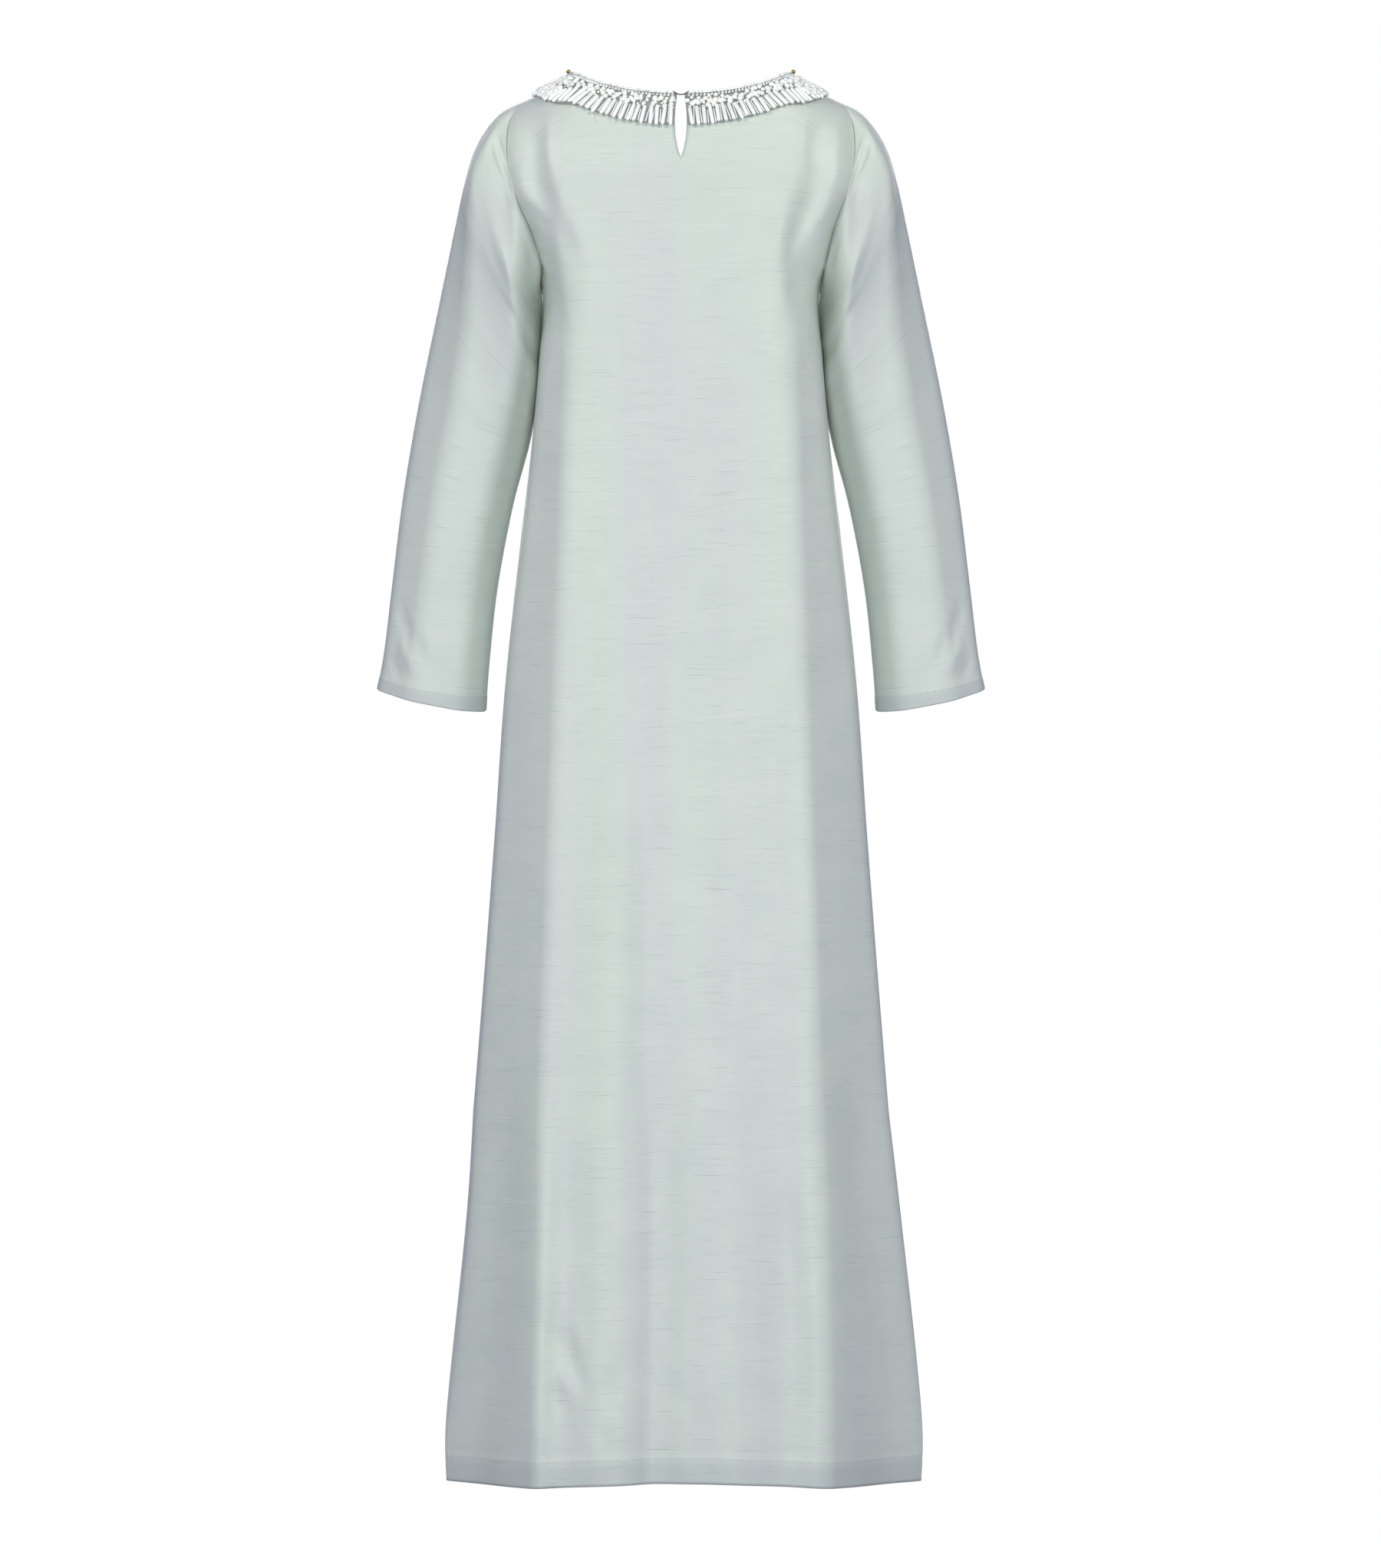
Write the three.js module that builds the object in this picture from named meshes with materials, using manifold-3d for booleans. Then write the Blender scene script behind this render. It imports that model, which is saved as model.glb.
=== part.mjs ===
// A full-length silk kaftan, hollow as it hangs on its wearer's shoulders: front and back panels,
// two set-in sleeves, a beaded collar band and a thread loop over the keyhole at the back of the neck.
// Millimetres, +Z up. The front faces -Y and the back +Y, and the wearer's left arm is at +X.
// The origin is midway between the two neck points, on the line of the shoulder seams.
import * as THREE from "three";
import { mergeVertices } from "three/addons/utils/BufferGeometryUtils.js";
import Module from "manifold-3d";

// ---- driving dimensions ----
const CLOTH = 1.4; // thickness of a single layer, with its slubs and seam allowances
const HEM_CLOTH = 2.6; // thickness where the hem is turned up inside
const SEAM_GAP = 0.3; // open line along each seam
const LENGTH = 1466; // neck point to hem
const HEM_DEPTH = 27; // height of the turned-up hem
const CUFF_HEM_DEPTH = 24;
const NECK_HALF_WIDTH = 111; // centre to neck point, along the shoulder
const SHOULDER_POINT = 168; // centre to the top of the armhole
const UNDERARM_DROP = 222; // shoulder line to the bottom of the armhole
const CROWN_DROP = 110; // height over which the cloth rounds from the shoulder top to upright
const BACK = 1;
const FRONT = -1;

// How far the cloth has rounded over before it hangs: a quarter turn of this mean radius.
const CROWN_RADIUS = { [BACK]: 104, [FRONT]: 112 };

// Shape of the neckline and of the collar's outer edge, measured on the cloth from the shoulder seam.
const NECKLINE = { halfWidth: NECK_HALF_WIDTH, back: 74, front: 138, roundness: 2.6 };
const COLLAR_EDGE = { halfWidth: 154, back: 118, front: 182, roundness: 2.4 };

// Half girths down the body. The back runs from its centre out to `flat`, turns away to
// (`turn`, `backTurn`) and ends at the side seam (`half`, `seamY`); the front is built alike. A soft bend
// reaches `ease` either side of a corner.
const GIRTHS = [
  { drop: 0, half: 215, flat: 158, turn: 200, back: 98, backTurn: 26, front: 112, frontTurn: 30, seamY: 0, ease: 48 },
  { drop: 110, half: 215, flat: 158, turn: 200, back: 98, backTurn: 26, front: 114, frontTurn: 30, seamY: 0, ease: 48 },
  { drop: 150, half: 197, flat: 142, turn: 184, back: 98, backTurn: 30, front: 116, frontTurn: 33, seamY: -2, ease: 44 },
  { drop: 190, half: 166, flat: 121, turn: 157, back: 98, backTurn: 47, front: 118, frontTurn: 46, seamY: -4, ease: 36 },
  { drop: 222, half: 145.5, flat: 112, turn: 139, back: 98, backTurn: 63, front: 119, frontTurn: 60, seamY: -5, ease: 28 },
  { drop: 300, half: 148.5, flat: 113, turn: 141.5, back: 95, backTurn: 61, front: 117, frontTurn: 60, seamY: -5, ease: 21 },
  { drop: 390, half: 156, flat: 118, turn: 149, back: 92, backTurn: 56, front: 114, frontTurn: 57, seamY: -4, ease: 18 },
  { drop: 480, half: 166.5, flat: 121, turn: 159, back: 91, backTurn: 51, front: 113, frontTurn: 54, seamY: -3, ease: 17 },
  { drop: 640, half: 183.5, flat: 127, turn: 176, back: 92, backTurn: 42, front: 114, frontTurn: 46, seamY: 0, ease: 17 },
  { drop: 790, half: 194, flat: 133, turn: 187, back: 95, backTurn: 40, front: 117, frontTurn: 44, seamY: 0, ease: 17 },
  { drop: 980, half: 208.5, flat: 140, turn: 201, back: 101, backTurn: 39, front: 121, frontTurn: 44, seamY: 0, ease: 17 },
  { drop: 1170, half: 224.5, flat: 146, turn: 217, back: 107, backTurn: 34, front: 127, frontTurn: 40, seamY: 0, ease: 18 },
  { drop: 1350, half: 243.5, flat: 151, turn: 236, back: 113, backTurn: 27, front: 133, frontTurn: 34, seamY: 0, ease: 20 },
  { drop: 1420, half: 249, flat: 152, turn: 241, back: 115, backTurn: 25, front: 135, frontTurn: 33, seamY: 0, ease: 20 },
  { drop: 1466, half: 247.5, flat: 152, turn: 240, back: 115, backTurn: 26, front: 135, frontTurn: 34, seamY: 0, ease: 20 },
];
// The skirt hangs a little to the wearer's right.
const SWAY = [
  { drop: 1080, x: 0 },
  { drop: 1170, x: -2.6 },
  { drop: 1280, x: -3.4 },
  { drop: 1466, x: -3 },
];
const GIRTH_SHARES = [0, 0.5, 0.78, 1]; // shares of a half panel's columns up to each corner

// Height of the shoulder line over the width of the yoke.
const SHOULDER_LINE = [
  { x: 0, z: 0 },
  { x: 104, z: 0 },
  { x: 128, z: -11.5 },
  { x: 152, z: -23.5 },
  { x: 168, z: -30.5 },
  { x: 182, z: -36 },
  { x: 215, z: -43 },
];
const SHOULDER_FADE = 220; // drop by which the shoulder slope no longer shows

// Armhole edge of each panel: distance from the centre and drop below the shoulder line.
const ARMHOLE = {
  [BACK]: [
    { x: 168, drop: 0 },
    { x: 173, drop: 8 },
    { x: 178, drop: 20 },
    { x: 180, drop: 45 },
    { x: 178.5, drop: 76 },
    { x: 172, drop: 112 },
    { x: 161, drop: 150 },
    { x: 152, drop: 190 },
    { x: 145.5, drop: 222 },
  ],
  [FRONT]: [
    { x: 168, drop: 0 },
    { x: 171, drop: 8 },
    { x: 174, drop: 20 },
    { x: 174, drop: 45 },
    { x: 171, drop: 76 },
    { x: 164, drop: 112 },
    { x: 155, drop: 150 },
    { x: 149, drop: 190 },
    { x: 145.5, drop: 222 },
  ],
};

// Soft upright folds: the share of the half girth each runs down, how wide and how proud (a trough is negative).
const FOLDS = {
  [BACK]: [
    { share: 0.48, from: 22, to: 225, width: 0.075, height: -8 },
    { share: -0.48, from: 22, to: 225, width: 0.075, height: -7 },
    { share: 0.25, from: 820, to: LENGTH, width: 0.11, height: 4.5 },
    { share: 0.15, from: 980, to: LENGTH, width: 0.08, height: -3 },
    { share: 0.4, from: 1120, to: LENGTH, width: 0.09, height: -3.5 },
    { share: -0.05, from: 1060, to: LENGTH, width: 0.11, height: 2.5 },
    { share: -0.35, from: 1150, to: LENGTH, width: 0.11, height: -3 },
    { share: 0.65, from: 1000, to: LENGTH, width: 0.1, height: -3 },
    { share: -0.65, from: 960, to: LENGTH, width: 0.11, height: -3.5 },
  ],
  [FRONT]: [
    { share: 0.48, from: 26, to: 235, width: 0.08, height: -6 },
    { share: -0.48, from: 26, to: 230, width: 0.08, height: -6.5 },
    { share: -0.25, from: 760, to: LENGTH, width: 0.11, height: 5 },
    { share: -0.1, from: 900, to: LENGTH, width: 0.09, height: -3.5 },
    { share: 0.1, from: 940, to: LENGTH, width: 0.11, height: 3 },
    { share: 0.35, from: 860, to: LENGTH, width: 0.1, height: -4.5 },
    { share: -0.65, from: 1010, to: LENGTH, width: 0.1, height: -3 },
    { share: 0.65, from: 980, to: LENGTH, width: 0.11, height: -3.5 },
  ],
};
const FOLD_RISE = 0.35; // share of a fold's length over which it grows
const FOLD_END = 0.25; // share over which a fold that stops short dies away
const SEAM_HOLD = 8; // the higher, the nearer to the side seams that folds keep their height

// Rings of a sleeve from the cap to the cuff: the outer and inner ends of each ring, its depth, how far
// forward it stands, how much its back and front bulge out past the line between its ends, and how much
// lower its back edge hangs.
const SLEEVE_RINGS = [
  { outX: 187, outZ: -39.5, inX: 146, inZ: -231, depth: 72, midY: -7, bow: 20, dip: 0 },
  { outX: 208, outZ: -67.5, inX: 144, inZ: -243, depth: 78, midY: -16, bow: 22, dip: 0 },
  { outX: 223, outZ: -106, inX: 143, inZ: -262, depth: 77, midY: -23, bow: 18, dip: 0 },
  { outX: 236.8, outZ: -160, inX: 143.5, inZ: -290, depth: 72, midY: -30, bow: 11, dip: 1 },
  { outX: 254.5, outZ: -243, inX: 148, inZ: -332, depth: 64, midY: -35, bow: 5, dip: 2 },
  { outX: 274.5, outZ: -340, inX: 158.5, inZ: -384, depth: 56, midY: -38, bow: 0, dip: 3 },
  { outX: 291, outZ: -437, inX: 176, inZ: -449, depth: 49, midY: -39, bow: 0, dip: 4 },
  { outX: 302.5, outZ: -529, inX: 192, inZ: -534, depth: 42, midY: -40, bow: 0, dip: 5 },
  { outX: 311, outZ: -600, inX: 201, inZ: -612, depth: 37, midY: -40, bow: 0, dip: 6 },
  { outX: 318.4, outZ: -640, inX: 204.6, inZ: -662, depth: 34, midY: -41, bow: 0, dip: 7 },
];
// Half section of a sleeve from its outer edge over the back to its inner edge, in shares of its size.
const SLEEVE_SECTION = [
  [1, 0],
  [0.95, 0.32],
  [0.38, 1],
  [-0.7, 1],
  [-0.97, 0.45],
  [-1, 0],
];
const SLEEVE_EASE = 0.22;
const FLAT_BACK_CORNER = 2; // the section's corner where its flat back ends towards the outer edge
const FULL_CAP = 0.68; // how far out the flat back runs at the cap
const FULL_CAP_RINGS = 5; // rings over which it comes back to the section's own value
const SLEEVE_CLEARANCE = 1.3; // between a sleeve and the body it hangs beside
const CLEARANCE_GROWTH = 40; // drop below the underarm over which that clearance opens
const BODY_SIDE_DEPTH = 90; // how far forward and back the body's side faces a sleeve

// Drag lines on the sleeve cap, from the arm down to the armhole seam, seen square on from the back.
const CAP_FOLDS = [
  { fromX: 204, fromZ: -66, toX: 172, toZ: -134, width: 13, height: -3.5 },
  { fromX: 196, fromZ: -52, toX: 183, toZ: -92, width: 9, height: 2 },
];
const CAP_FOLD_START = 0.2; // how far a drag line has risen where it starts
const CAP_FOLD_RISE = 3; // and how many times over it rises in its own length

// Keyhole at the centre back: half widths at its top and widest place, their heights, and how round its
// sides are above and below that place.
const KEYHOLE = { top: 3.2, widest: 7, topZ: -8, widestZ: -56, bottomZ: -97, above: 0.55, below: 0.6, point: 0.8 };
const CUTTER_REACH = 150; // past the back of the cloth

// Beaded collar: large bugles fan out below a band of round beads, under a rolled rim of small ones.
const BUGLES = 132;
const COLLAR_LIFT = 1.1; // clear of the curve of the cloth below
// Rows from the collar's outer edge to the neckline: share of its width, and the height of its face over
// the gaps between the bugles and along their crests.
const COLLAR_ROWS = [
  { across: 1, gap: 1.3, crest: 1.6 },
  { across: 0.95, gap: 1.4, crest: 4.4 },
  { across: 0.55, gap: 1.5, crest: 4.6 },
  { across: 0.49, gap: 2.6, crest: 2.2 },
  { across: 0.34, gap: 5.0, crest: 3.2 },
  { across: 0.21, gap: 2.4, crest: 2.4 },
  { across: 0.1, gap: 4.0, crest: 3.6 },
  { across: 0, gap: 1.5, crest: 1.5 },
];
const COLLAR_UNDERSIDE = [0, 1 / 3, 2 / 3, 1];
const COLLAR_FINE_STEPS = 600; // steps down the collar's edge from which its even columns are found
const COLLAR_END = { neck: 3.6, edge: 7.4 }; // half gap between its two ends at the keyhole

// Thread loop across the top of the keyhole: its ends lie on the collar's rim, and it sags between them.
const LOOP = { radius: 0.7, reach: 8, down: 77, lift: 6.1, sag: 4.5 };
// Set bead at each neck point, over the collar's rim.
const NECK_BEAD = { radius: 2.4, across: 114, lift: 7 };

// Columns of a half panel along its top edge, and rows down it.
const NECK_COLUMNS = 7;
const SHOULDER_COLUMNS = 3;
const ARMHOLE_COLUMNS = 10;
const HALF_COLUMNS = NECK_COLUMNS + SHOULDER_COLUMNS + ARMHOLE_COLUMNS;
const PANEL_ROWS = [0, 0.012, 0.026, 0.042, 0.06, 0.08, 0.103, 0.13, 0.162, 0.2, 0.25, 0.32, 0.41, 0.51, 0.61, 0.71, 0.81, 0.91, 1];
const COLUMN_FAN = 250; // distance down which the columns spread from the top edge to even girth shares
const HEM_STEP = 1; // height over which a panel thickens into its turned-up hem
const SLEEVE_ROWS = [0, 0.4, 0.9, 1.5, 2.1, 2.8, 3.5, 4.2, 5, 6, 7, 8, 9, 10]; // in rings
const CUFF_STEP = 0.03; // rings over which a sleeve thickens into its cuff hem
const HALVINGS = 30; // steps in which a share is found
const NORMAL_STEP = { share: 0.004, down: 0.5 }; // reach each way over which the cloth's slope is taken

// ---- small helpers ----
const clamp01 = (v) => Math.min(1, Math.max(0, v));
const mix = (a, b, share) => a + (b - a) * share;
const smooth = (v) => {
  const share = clamp01(v);
  return share * share * (3 - 2 * share);
};

// Where, from 0 to 1, a test stops holding, found by halving.
function halved(holds) {
  let low = 0;
  let high = 1;
  for (let i = 0; i < HALVINGS; i += 1) {
    const middle = (low + high) / 2;
    if (holds(middle)) low = middle;
    else high = middle;
  }
  return (low + high) / 2;
}

// Value of one column of a table at a key, along a smooth curve through its rows.
function curveAt(rows, key, column, at) {
  const last = rows.length - 1;
  const slope = (i) => {
    const low = rows[Math.max(0, i - 1)];
    const high = rows[Math.min(last, i + 1)];
    return (high[column] - low[column]) / (high[key] - low[key]);
  };
  if (at <= rows[0][key]) return rows[0][column];
  if (at >= rows[last][key]) return rows[last][column];
  let i = 0;
  while (rows[i + 1][key] < at) i += 1;
  const span = rows[i + 1][key] - rows[i][key];
  const f = (at - rows[i][key]) / span;
  const f2 = f * f;
  const f3 = f2 * f;
  return (
    (2 * f3 - 3 * f2 + 1) * rows[i][column] +
    (f3 - 2 * f2 + f) * span * slope(i) +
    (3 * f2 - 2 * f3) * rows[i + 1][column] +
    (f3 - f2) * span * slope(i + 1)
  );
}

// Point at a share of a path of straight stretches whose inner corners are eased.
function easedPath(corners, shares, ease, share) {
  let k = 0;
  while (k < shares.length - 2 && share > shares[k + 1]) k += 1;
  const f = clamp01((share - shares[k]) / (shares[k + 1] - shares[k]));
  const along = (i) => {
    const dx = corners[i + 1][0] - corners[i][0];
    const dy = corners[i + 1][1] - corners[i][1];
    const length = Math.hypot(dx, dy);
    return { length, dx: dx / length, dy: dy / length };
  };
  const run = along(k);
  const bend = (corner, before, after, near) => {
    const reach = Math.min(ease, before.length / 2, after.length / 2);
    if (Math.abs(near) >= reach) return null;
    const p = 0.5 + near / (2 * reach);
    const [cx, cy] = corners[corner];
    const a = (1 - p) * (1 - p);
    const b = p * p;
    return [cx - a * reach * before.dx + b * reach * after.dx, cy - a * reach * before.dy + b * reach * after.dy];
  };
  const start = k > 0 ? bend(k, along(k - 1), run, f * run.length) : null;
  const end = k < corners.length - 2 ? bend(k + 1, run, along(k + 1), (f - 1) * run.length) : null;
  const straight = [corners[k][0] + f * run.length * run.dx, corners[k][1] + f * run.length * run.dy];
  return start || end || straight;
}

// ---- the draped cloth ----
// Drop below the shoulder line, and how far the cloth has come away from it, at a distance down the cloth.
function crown(side, down) {
  const radius = CROWN_RADIUS[side];
  const arc = (radius * Math.PI) / 2;
  if (down >= arc) return { drop: CROWN_DROP + down - arc, out: 1 };
  return { drop: CROWN_DROP * (1 - Math.cos(down / radius)), out: Math.sin(down / radius) };
}

// Distance down the cloth at which it has dropped this far.
function downAt(side, drop) {
  const radius = CROWN_RADIUS[side];
  if (drop >= CROWN_DROP) return (radius * Math.PI) / 2 + drop - CROWN_DROP;
  return radius * Math.acos(1 - drop / CROWN_DROP);
}

// The girth at a drop: [across, depth] at a share from the centre to the side seam.
function girthPoint(side, drop, share) {
  const at = (column) => curveAt(GIRTHS, "drop", column, drop);
  const name = side === BACK ? "back" : "front";
  const depth = side * at(name);
  const corners = [
    [0, depth],
    [at("flat"), depth],
    [at("turn"), side * at(name + "Turn")],
    [at("half"), at("seamY")],
  ];
  return easedPath(corners, GIRTH_SHARES, at("ease"), share);
}

// Share of a half girth at which it has come out to x.
function shareAt(side, drop, x) {
  return halved((middle) => girthPoint(side, drop, middle)[0] < x);
}

function shoulderHeight(x) {
  return curveAt(SHOULDER_LINE, "x", "z", Math.abs(x));
}

// Smooth cloth with no folds. Share runs from -1 at the right side seam to 1 at the left.
function smoothCloth(side, share, down) {
  const { drop, out } = crown(side, down);
  const [across, depth] = girthPoint(side, drop, Math.abs(share));
  const x = Math.sign(share) * across + curveAt(SWAY, "drop", "x", drop);
  const z = -drop + shoulderHeight(across) * (1 - smooth(drop / SHOULDER_FADE));
  return new THREE.Vector3(x, depth * out, z);
}

function clothNormal(side, share, down) {
  const low = Math.max(-1, share - NORMAL_STEP.share);
  const high = Math.min(1, share + NORMAL_STEP.share);
  const across = smoothCloth(side, high, down).sub(smoothCloth(side, low, down));
  const downward = smoothCloth(side, share, down + NORMAL_STEP.down);
  downward.sub(smoothCloth(side, share, down - NORMAL_STEP.down));
  return across.cross(downward).multiplyScalar(side).normalize();
}

// Bump of a fold: 1 along its line, 0 from its width out.
function bump(distance, width) {
  const share = 1 - (distance / width) ** 2;
  return share > 0 ? share * share : 0;
}

function foldHeight(side, share, drop) {
  return FOLDS[side].reduce((sum, fold) => {
    const along = (drop - fold.from) / (fold.to - fold.from);
    if (along <= 0) return sum;
    const fades = fold.to < LENGTH ? smooth((1 - along) / FOLD_END) : 1;
    return sum + fold.height * smooth(along / FOLD_RISE) * fades * bump(share - fold.share, fold.width);
  }, 0);
}

// Finished outer face of the body's cloth.
function clothPoint(side, share, down) {
  const point = smoothCloth(side, share, down);
  const free = 1 - Math.abs(share) ** SEAM_HOLD;
  const height = foldHeight(side, share, crown(side, down).drop) * free;
  return point.addScaledVector(clothNormal(side, share, down), height);
}

// ---- edges of the panels ----
// Point on a rounded edge round the neck, [across, down the cloth], at a quarter-turn angle.
function neckEdge(edge, side, angle) {
  const power = 2 / edge.roundness;
  const reach = side === BACK ? edge.back : edge.front;
  return [edge.halfWidth * Math.cos(angle) ** power, reach * Math.sin(angle) ** power];
}

// Share of the half girth at which the cloth ends: at the armhole, or below it at the side seam.
function edgeShare(side, drop) {
  if (drop >= UNDERARM_DROP) return 1;
  return shareAt(side, drop, curveAt(ARMHOLE[side], "drop", "x", drop));
}

// Armhole points at even steps from the shoulder point to the underarm, [across, down the cloth].
function armholeSteps(side) {
  const fine = Array.from({ length: 112 }, (_, i) => {
    const drop = (UNDERARM_DROP * i) / 111;
    return new THREE.Vector3(curveAt(ARMHOLE[side], "drop", "x", drop), downAt(side, drop), 0);
  });
  const steps = new THREE.CatmullRomCurve3(fine).getSpacedPoints(ARMHOLE_COLUMNS);
  return steps.map((p) => [p.x, p.y]);
}

// Top edge of a half panel, from the centre to the underarm: [across, down the cloth] for each column.
function topEdge(side) {
  const quarter = Math.PI / 2;
  const neck = Array.from({ length: NECK_COLUMNS }, (_, i) => neckEdge(NECKLINE, side, quarter * (1 - i / NECK_COLUMNS)));
  const shoulder = Array.from({ length: SHOULDER_COLUMNS }, (_, i) => [
    mix(NECK_HALF_WIDTH, SHOULDER_POINT, i / SHOULDER_COLUMNS),
    SEAM_GAP / 2,
  ]);
  const armhole = armholeSteps(side);
  armhole[0][1] = SEAM_GAP / 2;
  return [...neck, ...shoulder, ...armhole];
}

// ---- solids ----
// Closed wall between an outer grid of points and its inner offsets. A ring grid closes on itself.
function wallGeometry(outer, inner, ring) {
  const rows = outer.length;
  const columns = outer[0].length;
  const positions = [];
  [outer, inner].forEach((grid) => grid.forEach((row) => row.forEach((p) => positions.push(p.x, p.y, p.z))));
  const faces = [];
  const at = (layer, r, c) => layer * rows * columns + r * columns + (c % columns);
  const apart = (a, b) =>
    Math.hypot(...[0, 1, 2].map((axis) => positions[3 * a + axis] - positions[3 * b + axis]));
  const quad = (a, b, c, d) => {
    if (apart(a, c) <= apart(b, d)) faces.push(a, b, c, a, c, d);
    else faces.push(b, c, d, b, d, a);
  };
  const spans = ring ? columns : columns - 1;
  for (let r = 0; r < rows - 1; r += 1) {
    for (let c = 0; c < spans; c += 1) {
      quad(at(0, r, c), at(0, r + 1, c), at(0, r + 1, c + 1), at(0, r, c + 1));
      quad(at(1, r, c), at(1, r, c + 1), at(1, r + 1, c + 1), at(1, r + 1, c));
    }
  }
  for (let c = 0; c < spans; c += 1) {
    quad(at(0, 0, c), at(0, 0, c + 1), at(1, 0, c + 1), at(1, 0, c));
    quad(at(0, rows - 1, c), at(1, rows - 1, c), at(1, rows - 1, c + 1), at(0, rows - 1, c + 1));
  }
  if (!ring) {
    for (let r = 0; r < rows - 1; r += 1) {
      quad(at(0, r, 0), at(1, r, 0), at(1, r + 1, 0), at(0, r + 1, 0));
      quad(at(0, r, columns - 1), at(0, r + 1, columns - 1), at(1, r + 1, columns - 1), at(1, r, columns - 1));
    }
  }
  const geometry = new THREE.BufferGeometry();
  geometry.setAttribute("position", new THREE.Float32BufferAttribute(positions, 3));
  geometry.setIndex(faces);
  return geometry;
}

function turnedInsideOut(geometry) {
  const index = geometry.index.array;
  for (let i = 0; i < index.length; i += 3) [index[i + 1], index[i + 2]] = [index[i + 2], index[i + 1]];
  return geometry;
}

function mirrored(geometry) {
  return turnedInsideOut(geometry.clone().scale(-1, 1, 1));
}

// ---- sleeves ----
const armholeLoop = [
  ...armholeSteps(BACK).slice(0, -1),
  ...armholeSteps(FRONT).slice(1).reverse(),
].map(([x, down], i) => {
  const side = i < ARMHOLE_COLUMNS ? BACK : FRONT;
  const share = i === ARMHOLE_COLUMNS ? 1 : shareAt(side, crown(side, down).drop, x);
  return { point: clothPoint(side, share, down), normal: clothNormal(side, share, down) };
});
const AROUND = armholeLoop.length;

// Points of a lower ring, in the order of the armhole's: outer edge, back, inner edge, front.
function sleeveRing(row, ring) {
  const section = SLEEVE_SECTION.map(([across, depth], corner) => {
    const full = corner === FLAT_BACK_CORNER;
    return [full ? mix(FULL_CAP, across, smooth(ring / FULL_CAP_RINGS)) : across, depth];
  });
  const half = new THREE.Vector3(row.outX - row.inX, 0, row.outZ - row.inZ).multiplyScalar(0.5);
  const middle = new THREE.Vector3((row.outX + row.inX) / 2, row.midY, (row.outZ + row.inZ) / 2);
  const square = new THREE.Vector3(-half.z, 0, half.x).normalize().multiplyScalar(half.z > 0 ? -1 : 1);
  const lengths = section.slice(1).map((p, i) => Math.hypot(p[0] - section[i][0], p[1] - section[i][1]));
  const total = lengths.reduce((a, b) => a + b);
  const shares = lengths.reduce((sums, length) => [...sums, sums[sums.length - 1] + length / total], [0]);
  return Array.from({ length: AROUND }, (_, i) => {
    const back = i <= AROUND / 2;
    const share = (back ? i : AROUND - i) / (AROUND / 2);
    const [across, depth] = easedPath(section, shares, SLEEVE_EASE, share);
    const sideways = (back ? 1 : -1) * depth;
    const point = middle.clone().addScaledVector(half, across);
    point.addScaledVector(square, row.bow * depth);
    point.y += sideways * row.depth;
    point.z -= sideways * row.dip;
    return point;
  });
}

// Point on the smooth line through one place of every ring.
function alongSleeve(rings, i, place) {
  const k = Math.min(Math.floor(place), rings.length - 2);
  const f = place - k;
  const p = [k - 1, k, k + 1, k + 2].map((n) => rings[Math.min(Math.max(n, 0), rings.length - 1)][i]);
  const out = new THREE.Vector3();
  ["x", "y", "z"].forEach((axis) => {
    const [a, b, c, d] = p.map((v) => v[axis]);
    out[axis] = b + 0.5 * f * (c - a + f * (2 * a - 5 * b + 4 * c - d + f * (3 * (b - c) + d - a)));
  });
  return out;
}

// How far out the body's side stands at a height and depth.
function bodySideAt(y, z) {
  const drop = -z;
  const side = y > curveAt(GIRTHS, "drop", "seamY", drop) ? BACK : FRONT;
  const share = halved((middle) => side * girthPoint(side, drop, middle)[1] > side * y);
  return girthPoint(side, drop, share)[0];
}

function clearOfBody(point) {
  const below = -UNDERARM_DROP - point.z;
  if (below <= 0 || Math.abs(point.y) > BODY_SIDE_DEPTH) return point;
  const clearance = mix(SEAM_GAP, SLEEVE_CLEARANCE, smooth(below / CLEARANCE_GROWTH));
  point.x = Math.max(point.x, bodySideAt(point.y, point.z) + clearance);
  return point;
}

function capFoldHeight(point) {
  return CAP_FOLDS.reduce((sum, fold) => {
    const line = new THREE.Line3(new THREE.Vector3(fold.fromX, 0, fold.fromZ), new THREE.Vector3(fold.toX, 0, fold.toZ));
    const flat = new THREE.Vector3(point.x, 0, point.z);
    const share = line.closestPointToPointParameter(flat, true);
    const distance = line.at(share, new THREE.Vector3()).distanceTo(flat);
    return sum + fold.height * bump(distance, fold.width) * smooth(share * CAP_FOLD_RISE + CAP_FOLD_START);
  }, 0);
}

// Unit normals of a ring grid, pointing out of the tube.
function ringNormals(grid) {
  return grid.map((row, r) =>
    row.map((_, c) => {
      const along = grid[Math.min(r + 1, grid.length - 1)][c].clone().sub(grid[Math.max(r - 1, 0)][c]);
      const around = row[(c + 1) % row.length].clone().sub(row[(c + row.length - 1) % row.length]);
      return along.cross(around).normalize();
    }),
  );
}

function sleeveGrid() {
  const rings = [armholeLoop.map((stop) => stop.point), ...SLEEVE_RINGS.map(sleeveRing)];
  const cuff = SLEEVE_RINGS[SLEEVE_RINGS.length - 1];
  const lastSpan = SLEEVE_RINGS[SLEEVE_RINGS.length - 2].outZ - cuff.outZ;
  const hemPlace = SLEEVE_ROWS[SLEEVE_ROWS.length - 1] - CUFF_HEM_DEPTH / lastSpan;
  const places = [...SLEEVE_ROWS.slice(0, -1), hemPlace - CUFF_STEP, hemPlace, SLEEVE_ROWS[SLEEVE_ROWS.length - 1]];
  const grid = places.map((place) => rings[0].map((_, i) => clearOfBody(alongSleeve(rings, i, place))));
  const normals = ringNormals(grid);
  grid.slice(1).forEach((row, r) =>
    row.forEach((point, i) => {
      if (i > 0 && i < AROUND / 2) point.addScaledVector(normals[r + 1][i], capFoldHeight(point));
    }),
  );
  return { grid, hemRow: places.length - 2 };
}

const sleeve = sleeveGrid();
const sleeveNormals = ringNormals(sleeve.grid);

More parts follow.
